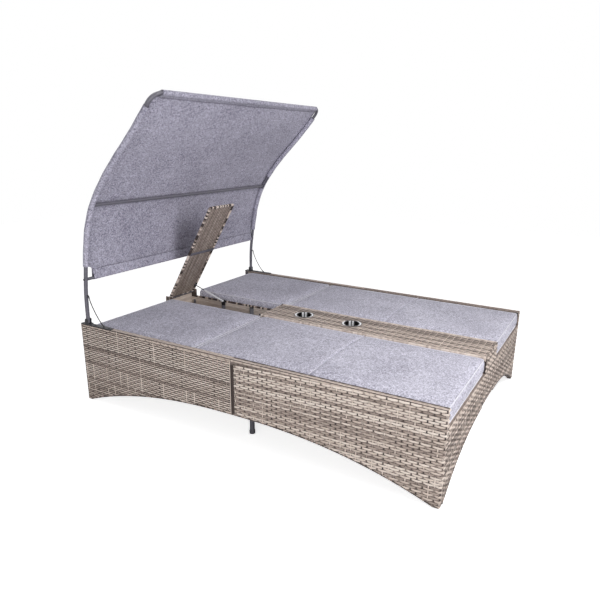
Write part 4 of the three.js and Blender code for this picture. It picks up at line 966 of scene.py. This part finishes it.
def storageWeave():
    size = storageSetup
    random = np.random.default_rng(8)
    inner, low, gap = size["innerX"], size["floorZ"], size["uprightHalf"]
    breaks = [y + way * gap for y in size["uprights"] for way in (-1, 1)]
    marks = [size["footY"] + 0.0085, *breaks, size["headY"]]
    heights = rowsDown(size["rimZ"] - 0.011, low + 0.002)
    rows = np.array([(z, start, stop, index) for index, z in enumerate(heights)
                     for start, stop in zip(marks[::2], marks[1::2])])
    stakes = np.array([y for y in np.arange(size["firstPost"], size["headY"], size["postPitch"])
                       if all(abs(y - upright) > gap + 0.003 for upright in size["uprights"])])
    for label, _, sx in sides:
        def place(along, lane, out, sx=sx):
            return stacked(sx * (inner - out), along, lane)
        tone = 0.90 + 0.12 * np.sin(rows[:, 3] * 1.9) + random.normal(0, 0.04, len(rows))
        wall = flatStrands("boxWall" + label, place, *rows[:, :3].T, tone, *size["strand"], phase=rows[:, 3])
        posts = flatStrands("boxPosts" + label, crossed(place), stakes, low, size["rimZ"] - gap, 0.84,
                            *size["post"], samples=1)
        wovenPiece("boxWallWeave" + label, [wall, posts])
        edgeBar("boxRim%s", sx, label)
        # grey metal uprights with black caps that paint the shade under the rim bars, a bracket under the
        # lid's hinge, and the backrest's pivot knob
        wide, deep = size["uprightSize"]
        x, top = sx * (inner - deep / 2 + 0.0002), size["uprightTop"]
        for index, y in enumerate(size["uprights"]):
            name = "%s%d" % (label, index)
            block("boxUpright" + name, (x, y, low - 0.003), (x, y, top - 0.004), (1, 0, 0), wide, deep,
                  0.0012, "zinc", "frame_steel")
            block("boxUprightCap" + name, (x, y, top - 0.0045), (x, y, top + 0.001), (1, 0, 0), wide + 0.0008,
                  deep + 0.0008, 0.0016, "black", "black_trim")
        y, z, wide, tall = size["bracket"]
        x = sx * (inner - 0.0028)
        block("hingeBracket" + label, (x, y, z - tall / 2), (x, y, z + tall / 2), (1, 0, 0), wide, 0.0030,
              0.0010, "zinc", "frame_steel")
        knob = revolve("backPivotKnob" + label, size["knob"], np.array(size["knobAt"]) * (sx, 1, 1),
                       (sx, 0, 0), 20)
        dress(knob, "black", "black_trim")
    for name, y, sign, top in size["endWalls"]:
        z = rowsDown(top, low + 0.002)
        wovenPiece(name, [flatStrands(
            name, lambda along, lane, out: stacked(along, y + sign * out, lane), z, 0.002 - inner,
            inner - 0.002, 0.84 + 0.12 * np.sin(np.arange(len(z)) * 2.1), *size["strand"])])
    for label, _, sx in sides:
        edgeBar("boxEar%s", sx, label)
    edgeBar("boxHeadEdge")
    edgeBar("boxBulkheadEdge")
    z = rowsDown(weaveSetup["topZ"], narrowFace["lowZ"])
    z = z[z <= narrowFace["boxTopZ"]]
    narrowWeave("boxHeadWeave", lambda along, lane, out: stacked(along, weaveSetup["halfLength"] + out, lane),
                z, rowTones["head"][2:2 + len(z)], "head", 53)


def lidPlace(x, y, z):
    # from the lid lying closed, measured from its hinge, to the lid standing open
    angle = radians(-lidSetup["open"])
    hingeY, hingeZ = lidSetup["hinge"]
    return stacked(x, hingeY + y * cos(angle) - z * sin(angle), hingeZ + y * sin(angle) + z * cos(angle))


def lidPieces():
    size = lidSetup
    random = np.random.default_rng(12)
    half, border, thick, pitch = size["half"], size["border"], size["thickness"], size["strandPitch"]
    up = (0, -sin(radians(-size["open"])), cos(radians(-size["open"])))
    length = size["length"] + size["overhang"] - border
    plan = roundedBox(2 * half - border, length, size["corner"], 6)
    middle = (size["overhang"] - size["length"]) / 2
    loop = lidPlace(plan[:, 0], plan[:, 1] + middle, size["rise"] - thick / 2)
    boundBar("lidFrame", loop, up, border - 0.0002, thick - 0.001, 0.0118, 0.0, 0.84, 0.46, bulge=0.0008,
             ring=True, seed=23, corner=0.3, midShare=0.18, dressing=("wicker_dark", "lid", ["lid_panel"]))

    # a thin woven sheet between the bars: lengthwise strands on both faces over crossing ones
    lanes = np.arange(-half + border + 0.0025, half - border - 0.002, pitch)
    low, high, inner = -size["length"] + border - 0.003, -0.004, half - border + 0.002
    for name, sign, level, tone in (("lidUnder", -1, size["sheetLow"], 0.46),
                                    ("lidTop", 1, size["sheetHigh"], 0.52)):
        def place(along, lane, out, sign=sign, level=level):
            return lidPlace(lane, along, level + sign * out)
        tones = tone + 0.24 * np.sin(np.arange(len(lanes)) * 2.6) + random.normal(0, 0.06, len(lanes))
        rows = flatStrands(name + "Rows", place, lanes, low, high, tones, pitch * 0.93, *size["strand"],
                           stakePitch=size["stakePitch"])
        cross = flatStrands(name + "Cross", crossed(place), np.arange(low + 0.02, high, size["stakePitch"]),
                            -inner, inner, tone + 0.06, *size["cross"], samples=2)
        wovenPiece(name + "Weave", [rows, cross], "wicker_dark", "lid")
    # a near-black core between the two faces: painted shade seen through the lid's weave
    middle = (size["sheetLow"] + size["sheetHigh"]) / 2
    block("lidCore", lidPlace(0, low, middle), lidPlace(0, high, middle), up, 2 * inner,
          size["sheetHigh"] - size["sheetLow"] - 0.0002, 0.0008, "gapShadeBacking", "wicker_dark", "lid")

    # the flat cross bar lies over the frame's underside
    place, wide, flat = size["crossbar"]
    level = size["rise"] - thick - flat / 2 + 0.0004
    block("lidCrossbar", lidPlace(-half + 0.009, -place, level), lidPlace(half - 0.006, -place, level), up,
          wide, flat, 0.0008, "tube", "frame_steel", "lid", ["lid_crossbar"])


consoleWeave()
storageWeave()
lidPieces()
print("stage: console, storage box and lid")


# cushions

cushionSetup = {
    "insideX": 0.1262, "outsideX": 0.7238, "bottom": 0.3533, "edgeTop": 0.4345, "crown": 0.0055,
    "plan": {"seat": (-0.9978, 0.2620), "backrest": (0.2680, 0.9446)}, "crease": -0.370,
    "creaseDepth": 0.0065, "creaseWidth": 0.0065, "cornerRadius": 0.020, "edgeRadius": 0.013, "cell": 0.0125,
    "sideBulge": 0.0028, "pressure": 3.5, "swellCap": 0.0055, "shrink": -0.012, "stiffness": 25,
    "bending": 1.2, "frames": 20, "pipeRadius": 0.0026, "creaseCord": 0.0026}


def spacing(low, high, cell, fine=()):
    # even steps of about one cell, with finer lines either side of each marked place
    lines = np.linspace(low, high, max(4, int(round((high - low) / cell))) + 1)
    for mark in fine:
        offsets = np.array([-0.012, -0.0075, -0.004, -0.0015, 0.0015, 0.004, 0.0075, 0.012])
        lines = np.sort(np.concatenate([lines[np.abs(lines - mark) > 0.017], mark + offsets]))
    return lines


def roundPlan(x, y, halfX, halfY, radius):
    # points in a corner square are drawn in to a quarter disc: both offsets times larger / hypotenuse
    overX = np.maximum(np.abs(x) - (halfX - radius), 0)
    overY = np.maximum(np.abs(y) - (halfY - radius), 0)
    reach = np.hypot(overX, overY)
    scale = np.where(reach > 1e-9, np.maximum(overX, overY) / np.maximum(reach, 1e-9), 1)
    return (np.where(overX > 0, np.sign(x) * (halfX - radius + overX * scale), x),
            np.where(overY > 0, np.sign(y) * (halfY - radius + overY * scale), y))


def padShell(name, centre, halfX, halfY, fine):
    # closed pad: a top and a bottom grid joined by side rings; z = edge + crown * (1 - u^4) * (1 - v^4)
    size = cushionSetup
    edge, bottom, top, radius = size["edgeRadius"], size["bottom"], size["edgeTop"], size["cornerRadius"]
    xs = spacing(-halfX, halfX, size["cell"])
    ys = spacing(-halfY, halfY, size["cell"], [mark - centre[1] for mark in fine])
    gridX, gridY = np.meshgrid(xs, ys, indexing="ij")
    lastX, lastY = len(xs) - 1, len(ys) - 1
    i, k = np.concatenate([stacked(0, np.arange(lastY)), stacked(np.arange(lastX), lastY),
                           stacked(lastX, np.arange(lastY, 0, -1)), stacked(np.arange(lastX, 0, -1), 0)]).T
    flatX, flatY = halfX - edge * 0.45, halfY - edge * 0.45
    planX, planY = roundPlan(gridX * flatX / halfX, gridY * flatY / halfY, flatX, flatY, radius)
    u, v = np.abs(gridX) / halfX, np.abs(gridY) / halfY
    fall = np.minimum(halfX - np.abs(gridX), halfY - np.abs(gridY))
    roll = edge * 0.5 * (1 - np.clip(fall / edge, 0, 1)) ** 2
    upper = stacked(planX, planY, top + size["crown"] * (1 - u ** 4) * (1 - v ** 4) - roll)
    lower = stacked(planX, planY, bottom + roll * 0.6)
    ring = stacked(*roundPlan(gridX[i, k], gridY[i, k], halfX, halfY, radius))
    along = np.linspace(0, 1, 8)[1:-1, None]
    norm = np.where(np.abs(ring) > np.array([halfX, halfY]) - 0.001, np.sign(ring), 0)
    # the sides bulge to the full size at half height: -bulge * (2 * share - 1) ^ 2
    grow = -size["sideBulge"] * (2 * along[..., None] - 1) ** 2 * norm
    rings = ring + grow
    ringZ = top - edge * 0.35 + (bottom - top + edge * 0.7) * along
    rings = stacked(rings[..., 0], rings[..., 1], ringZ)
    verts = np.concatenate([part.reshape(-1, 3) for part in (upper, lower, rings)]) + (*centre, 0)
    count, around = gridX.size, len(i)
    topQuads = gridQuads(len(xs), len(ys))[..., [0, 3, 2, 1]].reshape(-1, 4)
    flat = i * len(ys) + k
    middle = [2 * count + ring * around + np.arange(around) for ring in range(len(along))]
    rows = [flat, *middle, flat + count]
    sideQuads = [stacked(a, np.roll(a, -1), np.roll(b, -1), b) for a, b in zip(rows, rows[1:])]
    obj = addMesh(name, verts, np.concatenate([topQuads, topQuads[:, ::-1] + count, *sideQuads]))
    return editMesh(obj), {"top": flat, "bottom": flat + count}


def swell(obj, pinned):
    # a cloth run with inner pressure and no weight; no point may move further than the cap
    size = cushionSetup
    group = obj.vertex_groups.new(name="seam")
    group.add([int(index) for index in pinned], 1.0, "REPLACE")
    cloth = obj.modifiers.new("swell", "CLOTH")
    settings = cloth.settings
    settings.use_pressure = True
    settings.uniform_pressure_force = size["pressure"]
    settings.effector_weights.gravity = 0
    settings.shrink_min = size["shrink"]
    settings.tension_stiffness = settings.compression_stiffness = size["stiffness"]
    settings.bending_stiffness = size["bending"]
    settings.quality = 6
    settings.vertex_group_mass = "seam"
    cloth.collision_settings.use_collision = False
    cloth.point_cache.frame_start, cloth.point_cache.frame_end = 1, size["frames"]
    scene = bpy.context.scene
    for step in range(1, size["frames"] + 1):
        scene.frame_set(step)
    before = readPoints(obj)
    shift = readPoints(obj.evaluated_get(bpy.context.evaluated_depsgraph_get())) - before
    reach, cap = np.linalg.norm(shift, axis=1, keepdims=True), size["swellCap"]
    shift = shift * np.minimum(1, cap * np.tanh(reach / cap) / np.maximum(reach, 1e-9))
    obj.modifiers.remove(cloth)
    obj.vertex_groups.clear()
    scene.frame_set(1)
    writePoints(obj, before + shift)


def cushionPiece(label, side, sx, part, body):
    size = cushionSetup
    low, high = size["plan"][part]
    centre = (sx * (size["insideX"] + size["outsideX"]) / 2, (low + high) / 2)
    half = np.array([(size["outsideX"] - size["insideX"]) / 2, (high - low) / 2])
    fine = [size["crease"]] if part == "seat" else []
    name = part + "Cushion" + label
    pad, seams = padShell(name, centre, *half, fine)
    swell(pad, np.concatenate([seams["top"], seams["bottom"]]))
    points = readPoints(pad).astype(float)
    # faint hollows where the filling has settled, then the sewn crease with its puckers
    x, y = points[:, 0], points[:, 1]
    onTop = np.clip((points[:, 2] - size["edgeTop"]) / 0.004, 0, 1)
    points[:, 2] += onTop * (0.0012 * np.sin(5.1 * x + 3.3 * y + sx) * np.sin(4.3 * y - 2.1 * x + len(part))
                             + 0.0005 * np.sin(23 * x + 9 * y) * np.sin(17 * y - 6 * x))
    for mark in fine:
        pucker = 1 + 0.22 * np.sin(x * 2 * pi / 0.034) * np.exp(-np.abs(y - mark) / 0.012)
        onUpper = np.clip((points[:, 2] - size["bottom"] - 0.05) / 0.02, 0, 1)
        dent = np.exp(-((y - mark) / size["creaseWidth"]) ** 2)
        points[:, 2] -= onUpper * size["creaseDepth"] * dent * pucker
    points[:, 2] = np.clip(points[:, 2], size["bottom"], None)
    points[:, :2] = np.clip(points[:, :2], centre - half, centre + half)
    writePoints(pad, points)
    soften(pad)
    dress(pad, "cushion", "cushion_fabric", body, ["%s_cushion_%s" % (part, side)])
    # piping round the top and bottom seams, in the lighter cloth of a painted edge highlight
    for seam, rise in (("top", 0.0006), ("bottom", size["pipeRadius"] * 0.7)):
        ring = points[seams[seam]]
        outs = ring[:, :2] - centre
        outs = np.where(np.abs(outs) > half - 0.03, np.sign(outs), 0)
        outs = outs / np.maximum(np.linalg.norm(outs, axis=1, keepdims=True), 1e-9)
        path = ring + np.column_stack([outs * 0.0010, np.full(len(ring), rise)])
        wrinkle = size["pipeRadius"] * (1 + 0.05 * np.sin(np.arange(len(path)) * 2.1))
        pipe = sweep(name + seam.capitalize() + "Piping", path, (0, 0, 1),
                     circle(1.0, 10) * wrinkle[:, None, None], ring=True)
        dress(pipe, "pipingHighlight", "cushion_fabric", body)
    if part == "seat":
        # the crease's stitched cord, level with the top, in lighter cloth as a painted highlight on the
        # crease
        xs = np.linspace(centre[0] - half[0] + 0.006, centre[0] + half[0] - 0.006, 60)
        level = size["edgeTop"] + size["crown"] - size["creaseDepth"] * 0.62
        path = stacked(xs, size["crease"] + 0.0006 * np.sin(xs * 60), level)
        path[[0, -1], 2] -= 0.004
        cord = sweep(name + "CreaseCord", path, (0, 0, 1), circle(size["creaseCord"], 8))
        dress(cord, "crease", "cushion_fabric", body)


for label, side, sx in sides:
    cushionPiece(label, side, sx, "seat", "base")
    cushionPiece(label, side, sx, "backrest", "backrest_" + side)
print("stage: cushions")


# canopy frame

boltHead = [(0, -0.0015), (0.0058, -0.0015), (0.0060, 0.0012), (0.0052, 0.0030), (0.0034, 0.0039),
            (0.0030, 0.0037), (0.0028, 0.0026), (0, 0.0026)]
cableLug = [(0, -0.002), (0.0052, -0.002), (0.0050, 0.0010), (0.0036, 0.0024), (0.0036, 0.0046), (0, 0.0049)]


def sideTube(name, x, distances, radius, node, bend=None):
    # a tube along the side curve, with a quarter bend inwards at its end where bend gives the side's sign
    point, out, tangent = sideAt(distances)
    path, outs = stacked(x, point[:, 0], point[:, 1]), stacked(0, out[:, 0], out[:, 1])
    if bend:
        angle = np.linspace(0, pi / 2, 24)[1:, None]
        turn = canopyShape["bendRadius"]
        path = np.concatenate([path, path[-1] + turn * np.sin(angle) * (0, *tangent[-1])
                               - turn * (1 - np.cos(angle)) * (bend, 0, 0)])
        outs = np.concatenate([outs, np.repeat(outs[-1:], len(angle), 0)])
        radius = np.concatenate([radius, np.full(len(angle), radius[-1])])
    tube = sweep(name, path, outs, circle(1.0, 32) * radius[:, None, None])
    return dress(tube, "tube", "canopy_tube", "canopy", [node])


def canopyFrame():
    size = canopyShape
    jointAt = distanceAtHeight(size["jointZ"])
    bendAt = sideLength - size["bendRadius"]
    low, mid, lug = (pointAtHeight(key) for key in ("lowBarZ", "midBarZ", "lugZ"))
    for label, side, sx in sides:
        x = sx * size["postX"]
        radius = np.full(90, size["postRadius"])
        radius[-1] -= 0.0014                     # swaged end over the arm's spigot
        post = sideTube("canopyPost" + label, x, np.linspace(0, jointAt, 90), radius, "canopy_post_" + side)
        post.data.set_sharp_from_angle(angle=radians(40))
        radius = np.full(110, size["armRadius"])
        radius[0] -= 0.001
        sideTube("canopyArm" + label, x, np.linspace(jointAt - 0.004, bendAt, 110), radius,
                 "canopy_arm_" + side, sx)
        boltX, boltY = size["postX"] - size["boltIn"], mid[0] + size["boltOut"]
        for name, profile, place, way, count in (
                ("lowBarBolt", boltHead, (sx * (size["postX"] + size["postRadius"]), *low), (sx, 0, 0), 20),
                ("midBarBolt", boltHead, (sx * boltX, boltY, mid[1]), (0, 1, 0), 20),
                ("cableLug", cableLug, (x, lug[0] - size["postRadius"], lug[1]), (0, -1, 0), 18)):
            dress(revolve(name + label, profile, place, way, count), "black", "black_trim", "canopy")
    bendPoint, bendOut, bendTangent = sideAt(bendAt)
    top = bendPoint + bendTangent * size["bendRadius"]
    for name, centre, radius, endX in (
            ("Top", top, size["armRadius"], size["postX"] - size["bendRadius"] - size["gap"]),
            ("Mid", mid, size["midBarRadius"], size["postX"] - size["postRadius"] - size["gap"]),
            ("Low", low, size["lowBarRadius"], size["postX"] - size["postRadius"] - size["gap"])):
        bar = sweep("canopy%sBar" % name, between((-endX, *centre), (endX, *centre), 40), (0, 0, 1),
                    circle(radius, 28))
        bar.data.set_sharp_from_angle(angle=radians(50))
        dress(bar, "tube", "canopy_tube", "canopy", ["canopy_%s_bar" % name.lower()])
    return top, bendOut, bendTangent


topPoint, topOut, topTangent = canopyFrame()
print("stage: canopy frame")


# canopy cloth

canopyCloth = {
    "sheetOut": 0.0140, "sleeve": 0.0138, "sag": 0.0030, "bottomZ": 0.753, "topEnd": 0.074, "hemHalf": 0.7150,
    "hemRadius": 0.0100, "pocketHalf": 0.6980, "pocketRadius": 0.0118, "columns": 72, "stations": 96,
    "thickness": 0.0016, "hemBand": 0.045, "pocketBand": 0.030, "notch": (1.058, 1.138), "flap": 6,
    "hemShift": 0.018, "hemReach": 0.7220, "flapDrop": 0.0042, "bandDrop": 0.004, "thread": 0.0011,
    "hemTurns": (-75, -105, -135, -165, 165, 135, 105, 80),
    "pocketTurns": (90, 60, 30, 0, -30, -60, -90, -115),
    "bendGaps": (0.071, 0.064, 0.056, 0.048, 0.040, 0.030, 0.020, 0.010)}


def clothRows():
    # rows run from the hem round the low bar, up the curve, to the pocket round the top bar; each is
    # (point, out, half width, sleeve, offset along out, sag)
    size, shape = canopyCloth, canopyShape
    lowAt = distanceAtHeight(shape["lowBarZ"])
    startAt, endAt = distanceAtHeight(size["bottomZ"]), sideLength - size["topEnd"]
    sheetOut, radius = size["sheetOut"], size["hemRadius"]
    rows = [(*sideAt(lowAt + size["hemBand"])[:2], size["hemHalf"], 0, sheetOut - size["flapDrop"], 1)]
    for share in (0.66, 0.33):
        point, out, _ = sideAt(lowAt + size["hemBand"] * share)
        rows.append((point, out, size["hemHalf"], 0,
                     (sheetOut - size["bandDrop"]) * share - radius * (1 - share) * 0.8, share))
    lowPoint, lowOut, lowTangent = sideAt(lowAt)
    for turn in np.radians(size["hemTurns"]):
        # round the bar from its inner side, under it, to its outer side; angle is measured from the tangent
        offset = lowTangent * cos(turn) * radius + lowOut * sin(turn) * radius
        rows.append((lowPoint + offset, lowOut, size["hemHalf"], 0, 0.0, 0))
    for share in (0.3, 0.6, 0.85):
        point, out, _ = sideAt(lowAt + (startAt - 0.004 - lowAt) * share)
        rows.append((point, out, size["hemReach"], 0, radius + 0.0012 + (sheetOut - radius) * share, share))
    for at in np.linspace(startAt, endAt, size["stations"]):
        rows.append((*sideAt(at)[:2], shape["postX"], 1, sheetOut, 1))
    bend, radius = shape["bendRadius"], size["pocketRadius"]
    for gap in size["bendGaps"]:
        # the free edge follows the bend's centre line: half = tube - (r - sqrt(r^2 - run^2))
        run = max(0.0, (bend - gap) / bend)
        half = shape["postX"] + 0.003 - bend * (1 - np.sqrt(1 - run ** 2))
        share = gap / size["topEnd"]
        rows.append((topPoint - topTangent * gap, topOut, max(half, size["pocketHalf"] + 0.001), 0,
                     radius + (sheetOut - radius) * share, share))
    for turn in np.radians(size["pocketTurns"]):
        offset = topTangent * cos(turn) * radius + topOut * sin(turn) * radius
        rows.append((topPoint + offset, topOut, size["pocketHalf"], 0, 0.0, 0))
    for share in (0.55, 1.0):
        rows.append((topPoint - topTangent * (size["pocketBand"] * share + 0.004), topOut,
                     size["pocketHalf"], 0,
                     (sheetOut - size["bandDrop"]) * share - radius * 0.75 * (1 - share), share))
    return (np.array(part, float) for part in zip(*rows))


def canopySheet():
    # columns run from the left sleeve's flap round its tube, over the sheet, to the right sleeve's flap
    size, shape = canopyCloth, canopyShape
    point, out, half, sleeve, rise, sag = clothRows()
    count = len(point)
    run = np.arange(count)[:, None]
    lanes = np.linspace(-1, 1, size["columns"] + 1)
    atHem = (sleeve == 0) & (np.arange(count) < count // 2)
    x = half[:, None] * lanes + ((size["hemShift"] + half - size["hemHalf"]) * atHem)[:, None]
    folds = (0.0013 * np.sin(9 * lanes + 0.055 * run) * np.sin(0.09 * run + 1.3 * lanes)
             + 0.0007 * np.sin(31 * lanes - 0.12 * run))
    free = (1 - lanes ** 2) ** 0.8
    lift = rise[:, None] - sag[:, None] * (size["sag"] * (1 - lanes ** 2) - folds * free)

    def onCloth(x, offset):
        return np.concatenate([x[..., None], point[:, None] + out[:, None] * offset[..., None]], -1)
    # sleeve columns go from the top, outwards and under the tube to the flap, with ripples along it
    turn = np.radians(np.linspace(90, 405, 17)[1:])
    sleeves = []
    for sign in (-1, 1):
        ripple = size["sleeve"] * (1 + 0.035 * np.sin(run * 0.55 + sign) * np.sin(turn * 2))
        sleeves.append(onCloth(sign * (shape["postX"] - ripple * np.cos(turn)), ripple * np.sin(turn)))
    grid = np.concatenate([sleeves[0][:, ::-1], onCloth(x, lift), sleeves[1]], 1)
    columns, wrap = grid.shape[1], len(turn)
    i, k = np.meshgrid(np.arange(count - 1), np.arange(columns - 1), indexing="ij")
    inSleeve = (k < wrap) | (k >= wrap + len(lanes) - 1)
    heights = (point[:-1, 1] + point[1:, 1]) / 2
    opened = (heights > size["notch"][0]) & (heights < size["notch"][1])
    cutAway = opened[:, None] & ((k < size["flap"]) | (k >= columns - 1 - size["flap"]))
    keep = ~inSleeve | ((sleeve[i] > 0) & (sleeve[i + 1] > 0) & ~cutAway)
    quads = gridQuads(count, columns)[..., [0, 3, 2, 1]][keep]
    used = np.unique(quads)
    newIndex = np.full(count * columns, -1)
    newIndex[used] = np.arange(len(used))
    along, girth = measured(point), measured(grid[count // 2])
    uv = stacked(girth, along[:, None]).reshape(-1, 2)
    obj = addMesh("canopySheet", grid.reshape(-1, 3)[used], newIndex[quads], uv=uv[used])
    area = sum(face.area for face in obj.data.polygons)
    wall = obj.modifiers.new("clothThickness", "SOLIDIFY")
    wall.thickness = size["thickness"]
    wall.offset = 0
    soften(obj)
    dress(obj, "canopy", "canopy_fabric", "canopy", ["canopy_cloth"])
    # a stitched seam along the hem's and the pocket's free edge, on the face towards the bed; its dark thread
    # is painted shade of the seam's groove
    for name, line in (("hemSeam", 0), ("pocketSeam", count - 1)):
        away = np.array([0.0, *out[line]])
        path = grid[line, wrap + 1:wrap + len(lanes) - 1] - away * size["thickness"] * 0.75
        dress(sweep(name, path, away, circle(size["thread"], 6)), "seamShadeThread", "canopy_fabric", "canopy")
    return obj, float(girth[-1]), float(along[-1]), area


sheet, sheetWidth, sheetLength, sheetArea = canopySheet()
print("stage: canopy cloth", round(sheetWidth, 3), round(sheetLength, 3), round(sheetArea, 3))


# small metal pieces and the nodes that keep their CAD shape

# the turn, bars and arcs below place the cups' painted reflections
cupSetup = {
    "ys": (("Head", "head", 0.067), ("Foot", "foot", -0.235)), "seatZ": 0.4383, "radius": 0.045,
    "depth": 0.072, "flange": 0.0535, "wall": 0.0015, "reflectionTurn": -1.093, "reflectionBars": (0.19, 0.14),
    "reflectionArcs": (0.66, 0.05)}
# solids that only get broken edges: node, piece, material, slot, body, bevel, sharp angle; {side}, {end} and
# {lane} stand for every side, end and lane, and with a capital for the same word in the piece's name
solidPieces = [
    ("centre_leg_{side}", "centreLeg{Side}", "frame", "frame_steel"),
    ("canopy_plate_{side}", "canopyPlate{Side}", "plate", "frame_steel", "base", 0.0009),
    ("canopy_pin_{side}", "canopyPin{Side}", "black", "black_trim"),
    ("corner_leg_{side}_{end}", "cornerLeg{Side}{End}", "frame", "frame_steel", "base", 0.0015),
    ("rail_{side}_{lane}", "rail{Side}{Lane}", "frame", "frame_steel", "base", 0.0015),
    ("backrest_pivot_{side}_{lane}", "backPivot{Side}{Lane}", "black", "black_trim", "base", 0.0006),
    ("cross_tube_head_{side}", "crossTubeHead{Side}", "frame", "frame_steel", "base", 0.0015),
    ("seat_deck_{side}", "seatDeck{Side}", "board", "deck_board", "base", 0.0015),
    ("backrest_deck_{side}", "backDeck{Side}", "board", "deck_board", "backrest_{side}", 0.0015),
    ("cross_tube_foot", "crossTubeFoot", "frame", "frame_steel", "base", 0.0015),
    ("cross_tube_middle", "crossTubeMiddle", "frame", "frame_steel", "base", 0.0015),
    ("lid_hinge_rod", "lidHingeRod", "frame", "frame_steel", "base", 0.0005),
    ("strut_lower_bracket", "strutLowerBracket", "black", "black_trim"),
    ("strut_upper_bracket", "strutUpperBracket", "black", "black_trim", "lid"),
    ("strut_cylinder", "strutCylinder", "strutTube", "stainless", "strut_cylinder", 0.0006, 30),
    ("strut_rod", "strutRod", "strut", "strut_steel", "strut_rod", 0.0004, 30)]


def cups():
    size = cupSetup
    radius, f, d, w = size["radius"], size["flange"], size["depth"], size["wall"]
    r = radius - w
    # from the outside of the floor up to the rolled flange, over it, and down the inside with a pressed ring
    profile = [(0, -d), (radius - 0.008, -d), (radius - 0.003, -d + 0.002), (radius, -d + 0.007),
               (radius, -0.0012), (radius + 0.001, 0.0), (f - 0.0012, 0.0), (f, 0.0006), (f, 0.0014),
               (f - 0.0010, 0.0021), (f - 0.0030, 0.0022), (radius + 0.0015, 0.0019), (r, 0.0006),
               (r - 0.0004, -0.002), (r, -0.004), (r, -d + 0.020), (r - 0.001, -d + 0.018),
               (r - 0.0002, -d + 0.016), (r, -d + 0.009), (r - 0.003, -d + 0.0035), (r - 0.008, -d + w),
               (radius - 0.018, -d + w), (radius - 0.020, -d + w + 0.001), (radius - 0.022, -d + w),
               (0, -d + w)]
    turn = size["reflectionTurn"]
    for label, side, centreY in size["ys"]:
        cup = revolve("cupHolder" + label, profile, (0, centreY, size["seatZ"]), count=72, sharpAngle=50)
        x, y, _ = readPoints(cup).T
        # painted reflection, in fans as brushed steel shows them: two bright bars in the bowl and arcs on the
        # flange's sides, by a point's distance across the fans' line: exp(-((across - place) / width) ^ 4)
        # and 1 / (1 + exp(-...))
        across = np.abs(x * cos(turn) + (y - centreY) * sin(turn))
        behind = x * -sin(turn) + (y - centreY) * cos(turn)
        bowlReflection = np.exp(-((across / radius - size["reflectionBars"][0]) / size["reflectionBars"][1]) ** 4)
        bowlReflection = np.where(behind > 0.3 * radius, bowlReflection, 0.5)
        reflectionArcs = 1 / (1 + np.exp(-(across / f - size["reflectionArcs"][0]) / size["reflectionArcs"][1]))
        paintedReflection = np.where(np.hypot(x, y - centreY) > radius + 0.0005, reflectionArcs, bowlReflection)
        values = cup.data.attributes.new("paintedReflection", "FLOAT", "POINT").data
        values.foreach_set("value", paintedReflection.astype(np.float32))
        dress(cup, "steelReflection", "stainless", "base", ["cup_holder_" + side])


def solids():
    done = set()
    for label, side, _ in sides:
        for endLabel, end, _ in ends:
            for lane in ("outer", "inner"):
                words = {"side": side, "Side": label, "end": end, "End": endLabel, "lane": lane,
                         "Lane": lane.capitalize()}
                for row in solidPieces:
                    row = [part.format(**words) if isinstance(part, str) else part for part in row]
                    if row[0] not in done:
                        done.add(row[0])
                        polished(*row)


def gapShadeBacking():
    # the solid skins behind the weave keep their CAD shape, near-black as painted shade seen through the
    # weave's gaps
    names = ["%s_panel_%s_%s" % (kind, side, end) for kind in ("side", "end") for _, side, _ in sides
             for _, end, _ in ends]
    for name in names + ["console_body", "storage_box"]:
        for entry in nodes[name].material_slots:
            entry.link = "OBJECT"
            entry.material = materials["panel" if "panel" in name else "gapShadeBacking"]


cups()
solids()
gapShadeBacking()
print("stage: frame pieces and backing")


# floor, world and lamps; a lamp is (power, place, target, size)

stageSetup = {
    "floorSize": 14.0, "floor": (245, 245, 246), "floorGlow": 0.76, "diffuse": 0.262,
    "lamps": {"overhead": (31.0, (-0.7, -1.95, 2.2), (-0.1, -0.95, 0.4), 1.0),
              "top": (17.0, (-0.3, 0.9, 3.4), (0, -0.6, 0.4), 1.6),
              "front": (98.0, (-1.3, -6.5, 1.9), (0, 0.5, 0.9), 3.2),
              "side": (66.0, (-4.6, -0.9, 1.3), (0, 0, 0.3), 2.6)}}


def addLamp(name, power, place, target, size):
    lamp = bpy.data.lights.new(name, "AREA")
    lamp.shape = "DISK"
    lamp.size = size
    lamp.energy = power
    turn = (Vector(target) - Vector(place)).to_track_quat("-Z", "Y")
    addObject(name, lamp).matrix_world = Matrix.Translation(place) @ turn.to_matrix().to_4x4()


def addStage():
    size = stageSetup
    world = bpy.data.worlds.new("studio")
    bpy.context.scene.world = world
    world.use_nodes = True
    tree = world.node_tree
    tree.nodes.clear()
    rays = addNode(tree, "LightPath")
    seen = math(tree, "MAXIMUM", math(tree, "MAXIMUM", rays["Is Camera Ray"], rays["Is Glossy Ray"]),
                rays["Is Transmission Ray"])
    sky = addNode(tree, "Background", {
        "Color": (1, 1, 1, 1), "Strength": scaleAdd(tree, seen, 1 - size["diffuse"], size["diffuse"])})
    addNode(tree, "OutputWorld", {"Surface": sky[0]})
    half = size["floorSize"] / 2
    floor = addMesh("studioFloor", [(-half, -half, 0), (half, -half, 0), (half, half, 0), (-half, half, 0)],
                    [[0, 1, 2, 3]], smooth=False)
    material, tree, shader = newMaterial("paleFloor", Roughness=0.9)
    seen = addNode(tree, "LightPath")["Is Camera Ray"]
    setInputs(tree, shader, {"Base Color": srgb(*size["floor"]), "Emission Color": (1, 1, 1, 1),
                             "Emission Strength": math(tree, "MULTIPLY", seen, size["floorGlow"])})
    floor.data.materials.append(material)
    for name, lamp in size["lamps"].items():
        addLamp(name + "Lamp", *lamp)
    bpy.context.scene.view_settings.view_transform = "Standard"


addStage()
print("stage: floor and lamps")
